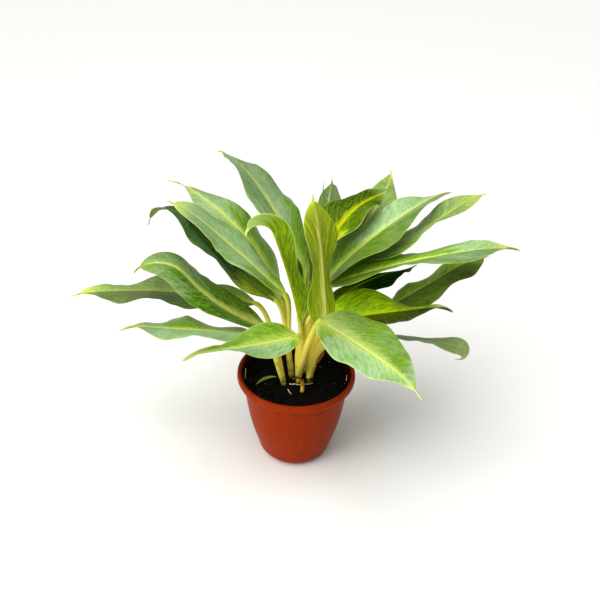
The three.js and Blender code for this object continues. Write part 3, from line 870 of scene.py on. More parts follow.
FRONT_LEAVES: list[Leaf] = [
    Leaf("I", "centre", neck=(0, -30, 170), heading=220, turn=-11, rise=12, fall=10, hook=(0.8, -27),
         length=128, width=36, drip=0.1, belly=(0.7, 1.3), roll=23, twist=-31, fold=19, sag=10,
         wave=(5.5, 1.4, 350, 95), upper=Tone.SILVERY, under=Tone.OLIVE, feather=10, painted_shade_near_neck=0.45, uneven=0.32,
         painted_light_and_tone=(1.35, 1.2, 0.92)),
    Leaf("S", "centre", neck=(21, -51, 203), heading=-28, turn=-41, rise=-14, fall=9, hook=(0.77, -20),
         length=137, width=58, drip=0.1, belly=(0.53, 0.95), roll=-7, twist=-14, fold=20, sag=10,
         wave=(3, 3.1, 300, 356), upper=Tone.SILVERY, under=Tone.OLIVE, feather=15, painted_shade_near_neck=0.45,
         stalk=(5, -30, 150), neck_bend=3, uneven=-0.3, painted_light_and_tone=(0.85, 1.15, 1.1), painted_half_light=(1.2, 0.85),
         wing=1.3),
    Leaf("K", "right", neck=(27, -28.5, 174), heading=-53, turn=5, rise=93, fall=108, hook=(0.8, -4),
         length=144, width=50, drip=0.05, belly=(0.67, 0.7), roll=-32, twist=24, fold=13, sag=12,
         wave=(7, 1.45, 333, 247), upper=Tone.FRESH, under=Tone.STRIPED, feather=10, painted_shade_near_neck=0.5, slant=5,
         painted_light_and_tone=(1.45, 1.3, 1.1), wing=1.5),
    Leaf("J", "centre", neck=(2, -6, 172), heading=183, turn=0, rise=79, fall=67, hook=(0.74, -152),
         length=140, width=37, drip=0.06, belly=(0.87, 0.6), roll=-13, twist=-9, fold=59, sag=14,
         wave=(5, 1.5, 274, 13), upper=Tone.LIT, under=Tone.LIT, feather=5, slant=2.6,
         painted_light_and_tone=(0.85, 0.62, 1.1), wing=1.9),
    Leaf("H", "left", neck=(-37, -7, 155), heading=203, turn=-23, rise=17, fall=3, hook=(0.8, -33),
         length=146, width=51, drip=0.12, belly=(0.7, 0.83), roll=-25, twist=25, fold=13, sag=12,
         wave=(3.9, 2.4, 7, 30), upper=Tone.SILVERY, under=Tone.OLIVE, feather=9, painted_shade_near_neck=0.38, uneven=0.25,
         painted_light_and_tone=(1.2, 1.2, 0.85)),
    Leaf("F", "left", neck=(-34, 4, 156), heading=185, turn=-7, rise=23, fall=72, hook=(0.63, -128),
         length=161, width=47, drip=0.07, belly=(0.68, 0.6), roll=7, twist=7, fold=16, sag=12,
         wave=(6, 1, 48, 30), upper=Tone.GRASSY, under=Tone.OLIVE, feather=9, painted_shade_near_neck=0.7,
         painted_light_and_tone=(1, 1.3, 1.05), wing=1.4),
]

LEFT_LEAVES: list[Leaf] = [
    Leaf("A", "back", neck=(7, 25, 197), heading=134, turn=-14, rise=64, fall=-11, hook=(0.8, -10),
         length=206, width=54, drip=0.08, belly=(0.95, 0.82), roll=-6, twist=-29, fold=20, sag=10,
         wave=(3, 2.9, 75, 140), upper=Tone.SILVERY, under=Tone.OLIVE, feather=9, painted_shade_near_neck=0.42,
         painted_light_and_tone=(1.15, 0.84, 0.87), wing=2.4),
    Leaf("B", "middle_left", neck=(-17, 36, 171), heading=171, turn=-23, rise=73, fall=8, hook=(0.8, -17),
         length=183, width=53, drip=0.12, belly=(0.7, 1), roll=0, twist=27, fold=5, sag=15,
         wave=(3.5, 2.5, 295, 350), upper=Tone.SILVERY, under=Tone.OLIVE, feather=11, painted_shade_near_neck=0.45, uneven=0.2,
         painted_light_and_tone=(1.55, 1.35, 0.97), wing=1.5),
    Leaf("C", "middle_left", neck=(-14, -4, 202), heading=162, turn=10, rise=38, fall=40, hook=(0.7, -20),
         length=147, width=48, drip=0.05, belly=(0.7, 0.7), roll=-11, twist=15, fold=16, sag=11,
         wave=(2.6, 2.1, 108, 274), upper=Tone.SILVERY, under=Tone.OLIVE, feather=6, painted_shade_near_neck=0.36,
         painted_light_and_tone=(1.35, 1.25, 1.12), wing=1.6),
    Leaf("D", "middle_left", neck=(-23, -7, 197), heading=176, turn=-25, rise=32, fall=61,
         hook=(0.63, -141), length=177, width=38, drip=0.05, belly=(0.73, 0.8), roll=0, twist=-23, fold=17,
         sag=17, wave=(4, 2.5, 50, 90), upper=Tone.DEEP, under=Tone.SHADED, feather=4, painted_light_and_tone=(0.7, 1.2, 1),
         wing=2.2),
    Leaf("G", "left", neck=(-46, 27, 170), heading=170, turn=0, rise=5, fall=-16, hook=(0.8, -7),
         length=208, width=51, drip=0.06, belly=(0.6, 0.7), roll=-3, twist=-2, fold=14, sag=12,
         wave=(5, 2.6, 333, 352), upper=Tone.FRESH, under=Tone.OLIVE, feather=9, stalk=(-24, 6, 150),
         painted_light_and_tone=(0.7, 0.4, 1.05), painted_half_light=(1, 0.6)),
]

RIGHT_LEAVES: list[Leaf] = [
    Leaf("L", "back", neck=(23, 16, 236), heading=60, turn=-24, rise=46, fall=-10, hook=(0.8, 37),
         length=114, width=51, drip=0.06, belly=(0.8, 1.1), roll=31, twist=-44, fold=21, sag=10,
         wave=(4, 2.2, 18, 118), upper=Tone.BACKLIT, under=Tone.BACKLIT, feather=10,
         painted_light_and_tone=(1.15, 0.95, 0.75), painted_half_light=(1.1, 0.75)),
    Leaf("M", "back", neck=(26, 13, 206), heading=8, turn=43, rise=56, fall=-6, hook=(0.8, -17), length=179,
         width=51, drip=0.08, belly=(0.66, 1.24), roll=6, twist=-7, fold=17, sag=11,
         wave=(5.4, 2, 320, 350), upper=Tone.SILVERY, under=Tone.OLIVE, feather=8, painted_shade_near_neck=0.5, uneven=0.15,
         painted_light_and_tone=(1.2, 1.15, 1.1), painted_half_light=(0.7, 1.1), wing=1.4),
    Leaf("N", "back", neck=(50, 20, 224), heading=14, turn=14, rise=19, fall=30, hook=(0.82, -38),
         length=160, width=43, drip=0.04, belly=(0.8, 0.86), roll=12, twist=4, fold=17, sag=11,
         wave=(6, 1.7, 104, 339), upper=Tone.FRESH, under=Tone.OLIVE, feather=5, painted_shade_near_neck=0.4,
         stalk=(18, 27, 204), painted_light_and_tone=(0.6, 1.1, 0.9)),
    Leaf("O", "right", neck=(30, 6, 208), heading=-5, turn=30, rise=28, fall=-10, hook=(0.76, -12),
         length=205, width=45, drip=0.08, belly=(0.66, 0.85), roll=9, twist=-1, fold=17, sag=11,
         wave=(6, 1.5, 262, 357), upper=Tone.SILVERY, under=Tone.OLIVE, feather=5, painted_shade_near_neck=0.7,
         painted_light_and_tone=(1.1, 1.4, 1), painted_half_light=(0.75, 1.25), wing=1.5),
    Leaf("P", "right", neck=(30, 11, 180), heading=37, turn=-2, rise=22, fall=-17, hook=(0.8, 25),
         length=121, width=48, drip=0.06, belly=(0.62, 0.9), roll=16, twist=11, fold=5, sag=15,
         wave=(2.3, 2.4, 180, 272), upper=Tone.NIGHT, under=Tone.NIGHT, feather=4),
    Leaf("Q", "right", neck=(44, -3, 159), heading=13, turn=23, rise=26, fall=17, hook=(0.67, -30),
         length=183, width=52, drip=0.06, belly=(0.7, 0.6), roll=19, twist=-6, fold=5, sag=15,
         wave=(3.6, 3.2, 78, 276), upper=Tone.SHADED, under=Tone.SHADED, feather=4, painted_light_and_tone=(1.1, 1.7, 1.6),
         painted_half_light=(0.5, 1.4)),
    Leaf("R", "right", neck=(31, -6, 175), heading=-9, turn=-6, rise=16, fall=19, hook=(0.79, -38),
         length=126, width=52, drip=0.06, belly=(0.6, 1.4), roll=-40, twist=68, fold=16, sag=12,
         wave=(6, 1.5, 256, 295), upper=Tone.LIT, under=Tone.OLIVE, feather=5, painted_light_and_tone=(1, 0.85, 0.3),
         painted_half_light=(0.32, 1.8), wing=1.4),
    Leaf("T", "right", neck=(49, 1, 152), heading=-9, turn=-9, rise=9, fall=-5, hook=(0.82, -184),
         length=141, width=39, drip=0.06, belly=(0.8, 0.74), roll=73, twist=-90, fold=14, sag=12,
         wave=(3.6, 1.8, 30, 241), upper=Tone.DUSTY, under=Tone.SHADED, feather=4),
    Leaf("U", "back", neck=(18, 33, 187), heading=81, turn=5, rise=46, fall=1, hook=(0.8, -6), length=155,
         width=46, drip=0.06, belly=(0.7, 1), roll=29, twist=11, fold=13, sag=12, wave=(3.8, 2.3, 221, 125),
         upper=Tone.GRASSY, under=Tone.OLIVE, feather=5, painted_light_and_tone=(0.6, 0.6, 0.6)),
    Leaf("W", "back", neck=(32, 29, 206), heading=42, turn=42, rise=44, fall=-7, hook=(0.8, 10), length=170,
         width=47, drip=0.06, belly=(0.63, 1.1), roll=-10, twist=-1, fold=14, sag=12,
         wave=(3.8, 2, 68, 185), upper=Tone.FRESH, under=Tone.OLIVE, feather=5),
]

LEAVES: list[Leaf] = FRONT_LEAVES + LEFT_LEAVES + RIGHT_LEAVES


@dataclass(frozen=True)
class Blades:
    """The leaf blades: lance-shaped sheets with a grooved rib, quilted side veins and a rippled margin.

    crowding is how much the columns of points crowd towards the rib, and middle the share of the half width
    over which one half's painted light and shade pass into the other's. grain_step sets the leaves' grains
    apart, in mm.
    """

    steps: int = 120
    columns: int = 35
    thickness: float = 0.5
    margin_thickness: float = 0.22
    rib_half_width: float = 2.2
    rib_end_half_width: float = 0.5
    keel: float = 1.5
    groove: float = 0.5
    vein_spacing: float = 6.4
    quilt: float = 0.03
    ripple: float = 0.5
    ripple_run: float = 4.1
    ripple_drift: float = 13.0
    crowding: float = 1.15
    middle: float = 0.15
    grain_step: float = 37.0

    def rib_width(self, t: np.ndarray) -> np.ndarray:
        """Half the rib's width at shares t."""
        return self.rib_half_width * (1 - t) + self.rib_end_half_width

    def half_width(self, leaf: Leaf, t: np.ndarray) -> np.ndarray:
        """Half the blade's width: a lance outline u^a (1 - u)^b scaled to 1 at its widest, added to the rib.

        Args:
            leaf: The leaf.
            t: Shares of the length.

        Returns:
            Half widths in mm.
        """
        u = np.minimum(1, t / (1 - leaf.drip))
        a, b = leaf.belly
        widest = a / (a + b)
        return leaf.width / 2 * (u / widest) ** a * ((1 - u) / (1 - widest)) ** b + self.rib_width(t)

    def shell(self, leaf: Leaf) -> Shell:
        """One blade on a grid of shares along (t) and across (s).

        A point lies half the width times s to the side, at the lean of fold less sag |s|, and as high as
        that lean gives, plus a wave |s|^1.5 sin(2 pi count t + phase) that dies away at both ends. The
        rib's groove, a low quilting between the side veins and a fine ripple of the margin are added to
        that height.

        Args:
            leaf: The leaf.

        Returns:
            The closed blade.
        """
        t = np.linspace(0, 1, self.steps + 1)
        line = np.linspace(-1, 1, self.columns)
        share, s = np.meshgrid(t, np.sign(line) * np.abs(line) ** self.crowding, indexing="ij")
        half = self.half_width(leaf, t)[:, None] * np.abs(s)
        height, count, right, left = leaf.wave
        phase = np.radians(np.where(s > 0, right, left))
        die = np.sqrt(np.maximum(0, np.sin(np.pi * share)))
        wave = height * die * np.abs(s) ** 1.5 * np.sin(2 * np.pi * count * share + phase)
        lean = np.radians(leaf.fold - leaf.sag * np.abs(s))
        across = np.sign(s) * half * np.cos(lean)
        along = share * leaf.length
        rib_half = self.rib_width(share)
        vein = (along - leaf.slant * half) / math.hypot(1, leaf.slant)
        clear = smooth(1.0, 4.0, half / rib_half) * die
        quilt = self.quilt * clear * np.cos(2 * np.pi * vein / self.vein_spacing)
        uneven_run = along / self.ripple_run + 2 * np.sin(along / self.ripple_drift) + 3 * s
        ripple = self.ripple * die * np.abs(s) ** 4 * np.sin(uneven_run)
        groove = self.groove * (1 - share) * np.exp(-((half / rib_half) ** 2))
        above = half * np.sin(lean) + wave + quilt + ripple

        side, up = leaf.axes(t)
        centre = leaf.centre_line(self.steps)
        sheet = centre[:, None] + side[:, None] * across[..., None] + up[:, None] * above[..., None]
        thick = self.margin_thickness + (self.thickness - self.margin_thickness) * (1 - np.abs(s) ** 3)
        keel = self.keel * (1 - share) * np.exp(-((half / (0.8 * rib_half)) ** 2))
        top = sheet + up[:, None] * (thick / 2 - groove)[..., None]
        bottom = sheet - up[:, None] * (thick / 2 + keel)[..., None]
        reach = half / (leaf.feather * (1 - share) ** 1.1 * (0.25 + smooth(0, 0.12, share)) + 0.6)
        grain = np.stack([vein, half * np.sign(s), np.full_like(s, self.grain_step * leaf.number())], -1)
        # Painted light and shade along the leaf and on either half, and how far the painted shade near the
        # neck keeps the painted sky reflection off.
        on_right = smooth(-self.middle, self.middle, s)
        right_half, left_half = leaf.painted_half_light
        painted_half_light = left_half + (right_half - left_half) * on_right
        painted_light_and_tone = np.interp(share, (0.1, 0.5, 0.85), leaf.painted_light_and_tone) * painted_half_light
        painted_shade_near_neck = leaf.painted_shade_near_neck + leaf.uneven * (2 * on_right - 1)
        return closed_sheet(top, bottom, {
            "grain": grain, "rib": half / (0.3 * rib_half + 0.25), "reach": reach, "share": share,
            "margin": self.half_width(leaf, t)[:, None] - half, "vein": vein, "inner": share / painted_shade_near_neck,
            "painted_light_and_tone": painted_light_and_tone,
        })

    def build(self, tones: dict[Tone, bpy.types.Material]) -> None:
        """Makes every blade, and stands it for its solid.

        Args:
            tones: The material for each tone.
        """
        for leaf in LEAVES:
            faces = [tones[leaf.upper], tones[leaf.under]]
            piece = make_piece("blade_" + leaf.name, self.shell(leaf), faces)
            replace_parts(piece, "leaf_" + leaf.name)


@dataclass(frozen=True)
class Sheath:
    """An old leaf's sheath, a thin boat-shaped scale that clasps the stems.

    foot and top are where its middle line starts and ends. foot_half and top_half are half its width at the
    foot and at its widest, curl is how far its edges curl back, and narrows the share where it begins to
    narrow.
    """

    foot: Point
    top: Point
    foot_half: float
    top_half: float
    curl: float
    narrows: float = 0.6
    thickness: float = 0.5
    steps: int = 40
    columns: int = 17

    def shell(self, seed: float) -> Shell:
        """The scale: its half width swells by smoothstep, then falls like the root of 1 - u^2 to a point.

        Args:
            seed: Where its grain starts.

        Returns:
            The shell.
        """
        t, s = np.meshgrid(
            np.linspace(0, 0.995, self.steps), np.linspace(-1, 1, self.columns), indexing="ij")
        foot, top = np.array(self.foot, float), np.array(self.top, float)
        along = unit(top - foot)
        across = unit(np.cross(along, TOWARDS_FRONT))
        front = np.cross(across, along)
        half = self.foot_half + (self.top_half - self.foot_half) * smooth(0, self.narrows, t)
        half = half * np.sqrt(1 - np.maximum(0, (t - self.narrows) / (1 - self.narrows)) ** 2)
        depth = -self.curl * s ** 2 * half / self.top_half + 0.25 * np.sin(9 * s + seed) * t
        middle = foot + t[..., None] * (top - foot)
        sheet = middle + across * (half * s)[..., None] + front * depth[..., None]
        skin = front * self.thickness / 2
        run = t * np.linalg.norm(top - foot)
        grain = np.stack([run, half * s, np.full_like(s, seed)], -1)
        return closed_sheet(sheet + skin, sheet - skin, {"share": t * 0.6, "grain": grain})


SHEATHS: dict[str, Sheath] = {
    "sheath_right": Sheath(
        foot=(13, -6.9, 92.5), top=(19, -4.5, 153), foot_half=2.6, top_half=7.6, curl=5.0),
    "sheath_centre": Sheath(
        foot=(2.5, -9.2, 92.5), top=(3.5, -9.5, 152), foot_half=3.2, top_half=5.0, curl=4.0),
    "sheath_back": Sheath(
        foot=(7, -3.5, 112), top=(11.5, -5.5, 190), foot_half=4.0, top_half=5.6, curl=3.0, narrows=0.65),
    "bud_sheath": Sheath(
        foot=(9, -12, 172), top=(14.5, -12.2, 187.5), foot_half=1.2, top_half=1.8, curl=1.4, narrows=0.3),
}
DRY_BRACT = Sheath(
    foot=(19, -4.6, 116), top=(28.5, -4, 132), foot_half=2.2, top_half=2.4, curl=1.6, narrows=0.3)


@dataclass(frozen=True)
class YoungLeaf:
    """A young leaf, still rolled into a spear.

    places are the three places that it runs through, radius is its radius at the foot without tip_radius,
    which it keeps up to its tip, taper is how late it thins, and grain is where its grain starts.
    """

    places: list[Point]
    radius: float
    taper: float
    tip_radius: float
    grain: float


YOUNG_LEAVES: dict[str, YoungLeaf] = {
    "young_leaf_tall": YoungLeaf(
        places=[(11, 17, 135), (18, 9, 212), (20, 14, 317)], radius=1.7, taper=9, tip_radius=0.15,
        grain=2.0),
    "young_leaf_short": YoungLeaf(
        places=[(9, 16, 132), (7, 8, 170), (8, 8, 221)], radius=3.0, taper=1.5, tip_radius=0.2, grain=7.0),
}


@dataclass(frozen=True)
class Stalks:
    """The sheathed stems, the petioles that part from them, the rolled young leaves and a cut root stub."""

    soil_level: float = 94.0
    rooted: float = 16.0
    stem_share: float = 0.6
    stem_taper: float = 0.35
    petiole_start: float = 0.6
    foot_radius: float = 3.4
    neck_radius: float = 2.3
    run_under: float = 9.0
    run_under_steps: int = 9
    grain_step: float = 11.0
    roll_groove: float = 0.4
    stub: tuple[Point, ...] = ((5.8, -6, 95.5), (6.9, -15, 98.6), (6.6, -26, 96.6))
    stub_radius: float = 2.3
    around: int = 20
    steps: int = 56

    def stem_line(self, shoot: Shoot, t: np.ndarray) -> np.ndarray:
        """A stem's line, a quadratic Bezier curve: up through the soil, then over to where it leans.

        Args:
            shoot: The shoot.
            t: Shares of the curve.

        Returns:
            Its points.
        """
        foot = np.array([*shoot.foot, self.soil_level])
        root = foot - [0, 0, self.rooted]
        top = foot + (np.array(shoot.lean) - foot) * self.stem_share
        t = t[:, None]
        return root * (1 - t) ** 2 + 2 * foot * t * (1 - t) + top * t ** 2

    def tube(self, line: np.ndarray, across: np.ndarray, radii: np.ndarray, groove: float = 0.0,
             seed: float = 0.0, breadth: np.ndarray | float = 1.0) -> Shell:
        """A closed tube: round or oval sections square to a line, with an optional groove along one side.

        Args:
            line: The line's points.
            across: A direction that the line never runs along.
            radii: The radius at each point.
            groove: How deep the groove is, as a share of the radius.
            seed: Where its grain starts.
            breadth: How much wider than deep it is at each point.

        Returns:
            The shell.
        """
        along = unit(np.gradient(line, axis=0))
        right = unit(across - along * (along @ across)[:, None])
        under = np.cross(along, right)
        turn = np.arange(self.around) * 2 * np.pi / self.around
        # The groove is a bell-shaped dip, about 50 degrees wide, on the side opposite under.
        dip = groove * np.exp(-((np.abs(turn - 1.5 * np.pi)) / 0.55) ** 2)
        reach = radii[:, None] * (1 - dip)[None]
        wide = reach * np.reshape(breadth, (-1, 1))
        rings = (line[:, None] + right[:, None] * (np.cos(turn) * wide)[..., None]
                 + under[:, None] * (np.sin(turn) * reach)[..., None])
        share = np.repeat(np.linspace(0, 1, len(line))[:, None], self.around, 1)
        run = np.concatenate([[0], np.cumsum(np.linalg.norm(np.diff(line, axis=0), axis=1))])
        # The grain folds back half way round, so that it meets itself.
        fold = np.abs(turn - np.pi) * radii.mean()
        grain = np.stack(np.broadcast_arrays(run[:, None], fold[None], seed), -1)
        return closed_rings(rings, line[0], line[-1], {"share": share, "grain": grain})

    def stem(self, name: str, shoot: Shoot) -> Shell:
        """A stem that tapers, with the swollen rings where old leaves have dropped.

        Args:
            name: The shoot's name, which sets where its rings lie.
            shoot: The shoot.

        Returns:
            The shell.
        """
        t = np.linspace(0, 1, self.steps)
        rings = 0.05 * np.maximum(0, np.sin(2 * np.pi * (4.5 * t + len(name) / 7))) ** 6
        radii = shoot.radius * (1 - self.stem_taper * t) * (1 + rings) * np.where(t > 0.985, 0.6, 1)
        return self.tube(self.stem_line(shoot, t), TOWARDS_FRONT, radii, seed=3.0 * len(name))

    def petiole(self, leaf: Leaf) -> Shell:
        """A petiole: a cubic Bezier curve out of its stem that arrives the way its blade leaves.

        Args:
            leaf: The leaf that it carries.

        Returns:
            The shell.
        """
        shoot = SHOOTS[leaf.shoot]
        start = self.stem_line(shoot, np.array([self.petiole_start]))[0]
        neck = np.array(leaf.neck, float)
        lean = np.array(shoot.lean) - start
        halfway = start + lean / np.linalg.norm(lean) * np.linalg.norm(neck - start) / 2
        stalk = np.array(leaf.stalk, float) if leaf.stalk else halfway
        along = leaf.direction(np.zeros(1))[0]
        bend = neck - along * leaf.neck_bend
        t = np.linspace(0, 1, self.steps)[:, None]
        line = (start * (1 - t) ** 3 + 3 * stalk * t * (1 - t) ** 2 + 3 * bend * t ** 2 * (1 - t)
                + neck * t ** 3)
        radii = self.foot_radius + (self.neck_radius - self.foot_radius) * np.sqrt(t[:, 0])
        # The end runs on under the rib and thins into its keel.
        under = np.linspace(0, 1, self.run_under_steps + 1)[1:]
        rib_steps = 200
        rib = leaf.centre_line(rib_steps)
        up = leaf.axes(np.linspace(0, 1, rib_steps + 1))[1]
        place = under * self.run_under / leaf.length * rib_steps
        index = place.astype(int)
        rest = (place - index)[:, None]
        rib_line = rib[index] * (1 - rest) + rib[index + 1] * rest
        line = np.concatenate([line, rib_line - up[index] * (0.5 + 0.5 * under)[:, None]])
        radii = np.concatenate([radii, self.neck_radius * (1 - 0.6 * under)])
        heading = math.radians(leaf.heading)
        across = np.array([math.sin(heading), -math.cos(heading), 0.0])
        run = np.linspace(0, 1 + len(under) / self.steps, len(line))
        wing = 1 + (leaf.wing - 1) * smooth(0.15, 0.85, run)
        return self.tube(line, across, radii, seed=self.grain_step * leaf.number(), breadth=wing)

    def build(self, stem: bpy.types.Material, petiole: bpy.types.Material, young: bpy.types.Material,
              root: bpy.types.Material, dry: bpy.types.Material) -> None:
        """Makes the stems, their sheaths, the petioles, young leaves and root stub.

        Args:
            stem: The stems' and sheaths' material.
            petiole: The petioles' material.
            young: The young leaves' material.
            root: The root stub's material.
            dry: The dry bract's material.
        """
        for index, (name, sheath) in enumerate(SHEATHS.items()):
            make_piece(name, sheath.shell(2.0 * index), [stem, stem])
        make_piece("dry_bract", DRY_BRACT.shell(1.0), [dry, dry])
        for name, shoot in SHOOTS.items():
            piece = make_piece("stem_" + name, self.stem(name, shoot), [stem])
            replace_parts(piece, "shoot_" + name)
        for leaf in LEAVES:
            make_piece("petiole_" + leaf.name, self.petiole(leaf), [petiole])
        t = np.linspace(0, 1, self.steps)
        for name, spear in YOUNG_LEAVES.items():
            radii = spear.radius * (1 - t ** spear.taper) + spear.tip_radius
            rolled = self.tube(
                through(spear.places, t), TOWARDS_FRONT, radii, groove=self.roll_groove, seed=spear.grain)
            make_piece(name, rolled, [young])
        # The stub is ringed like the root that it was.
        radii = self.stub_radius * (1 - 0.15 * t) * (1 + 0.05 * np.sin(40 * t))
        stub = self.tube(through(self.stub, t), np.array([1.0, 0.0, 0.0]), radii, seed=5.0)
        make_piece("root_stub", stub, [root])


# The pot and what is in it.


@dataclass(frozen=True)
class NurseryPot:
    """A moulded pot with a rolled rim, two faint rings under it, and a drained floor."""

    height: float = 105.0
    rim_radius: float = 62.5
    lip_height: float = 9.5
    wall: float = 1.8
    floor_top: float = 3.4
    hole_radius: float = 3.5
    hole_circle: float = 20.0
    holes: int = 6
    # Places on the side and the underside, each as a radius and a height.
    side_bends: tuple[Place, ...] = ((30, 0), (37, 8), (40, 16), (49.3, 50))
    side_top_radius: float = 56.0
    underside: tuple[Place, ...] = ((10, 0), (14, 0), (15, 1.2), (25, 1.2), (26, 0), (29.2, 0))
    ring_levels: Place = (91.0, 86.0)
    ring_depth: float = 0.35
    ring_half_width: float = 0.8
    around: int = 180

    def side(self, z: np.ndarray) -> np.ndarray:
        """The outer radius below the lip: a smooth run through its five bends, plus two faint rings.

        Args:
            z: Heights in mm.

        Returns:
            Radii in mm.
        """
        bends = [*self.side_bends, (self.side_top_radius, self.height - self.lip_height)]
        points = np.array([bends[0], *bends, bends[-1]], float)
        t = np.linspace(0, 1, 24)[:, None]
        runs = []
        for p0, p1, p2, p3 in zip(points, points[1:], points[2:], points[3:]):
            # A Catmull-Rom run from p1 to p2.
            runs.append(0.5 * (2 * p1 + (p2 - p0) * t + (2 * p0 - 5 * p1 + 4 * p2 - p3) * t ** 2
                               + (3 * p1 - p0 - 3 * p2 + p3) * t ** 3))
        path = np.concatenate(runs)
        rings = sum(self.ring_depth * np.exp(-(((z - level) / self.ring_half_width) ** 2))
                    for level in self.ring_levels)
        return np.interp(z, path[:, 1], path[:, 0]) + rings

    def lip(self) -> np.ndarray:
        """The rolled lip from its underside round to its inner edge, its corners cut twice to round them.

        Returns:
            Points as radius and height.
        """
        bends = [(2.5, self.lip_height), (0.5, 8), (0, 5), (0.6, 1), (2, 0), (4, 0.8)]
        path = np.array([(self.rim_radius - inwards, self.height - below) for inwards, below in bends])
        for _ in range(2):
            near, far = path[:-1] * 0.75 + path[1:] * 0.25, path[:-1] * 0.25 + path[1:] * 0.75
            path = np.concatenate([path[:1], np.stack([near, far], 1).reshape(-1, 2)[1:-1], path[-1:]])
        return path

    def shell(self) -> Shell:
        """The pot turned round its axis: the underside with its channel, the side, the lip and the inside.

        Returns:
            The shell, without its drain holes.
        """
        base = np.array(self.underside)
        z = np.linspace(0.5, self.height - self.lip_height, 110)
        outer = np.stack([self.side(z), z], -1)
        z = np.linspace(self.height - self.lip_height - 0.5, self.floor_top + 1.2, 60)
        inner = np.stack([self.side(z) - self.wall, z], -1)
        top_floor = np.array([(radius, self.floor_top) for radius in (inner[-1, 0] - 1.2, 26, 14)])
        lip = self.lip()
        profile = np.concatenate([base, outer, lip, inner, top_floor])
        turn = np.arange(self.around) * 2 * np.pi / self.around
        rings = np.stack(np.broadcast_arrays(
            profile[:, :1] * np.cos(turn), profile[:, :1] * np.sin(turn), profile[:, 1:]), -1)
        inside = np.zeros((len(profile), self.around))
        inside[len(base) + len(outer) + len(lip) - 1:] = 1
        return closed_rings(rings, np.zeros(3), np.array([0, 0, self.floor_top]), {"inside": inside})

    def build(self, plastic: bpy.types.Material) -> None:
        """Makes the pot and drills its drain holes.

        Args:
            plastic: Its material.
        """
        piece = make_piece("nursery_pot", self.shell(), [plastic])
        sides = 24
        turn = np.arange(sides) * 2 * np.pi / sides
        ring = np.stack([np.cos(turn), np.sin(turn), np.zeros(sides)], -1) * self.hole_radius
        drill = None
        for angle in np.arange(self.holes) * 2 * np.pi / self.holes:
            centre = np.array([math.cos(angle), math.sin(angle), 0]) * self.hole_circle
            # The pegs reach past both sides of the floor.
            low, high = centre + [0, 0, -4], centre + [0, 0, 12]
            peg = closed_rings(np.stack([ring + low, ring + high]), low, high, {})
            drill = drill.joined(peg) if drill else peg
        mesh = bpy.data.meshes.new("drain_drill")
        mesh.from_pydata((drill.points * MM).tolist(), [], drill.faces)
        cutter = bpy.data.objects.new("drain_drill", mesh)
        bpy.context.scene.collection.objects.link(cutter)
        cut = piece.modifiers.new("drain_holes", "BOOLEAN")
        cut.operation = "DIFFERENCE"
        cut.object = cutter
        bpy.context.view_layer.update()
        finished = piece.evaluated_get(bpy.context.evaluated_depsgraph_get())
        drilled = bpy.data.meshes.new_from_object(finished)
        piece.modifiers.clear()
        piece.data = drilled
        bpy.data.objects.remove(cutter)
        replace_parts(piece, "pot")


@dataclass(frozen=True)
class Scatter:
    """Loose lumps of one kind: how many, their smallest and largest radius in mm, and their random seed."""

    count: int
    low: float
    high: float
    seed: int


LOOSE_BITS: dict[str, Scatter] = {
    "mix_crumbs": Scatter(count=420, low=0.5, high=2.6, seed=11),
    "bark_bits": Scatter(count=60, low=0.5, high=1.7, seed=12),
    "pale_grit": Scatter(count=16, low=0.3, high=0.8, seed=13),
}


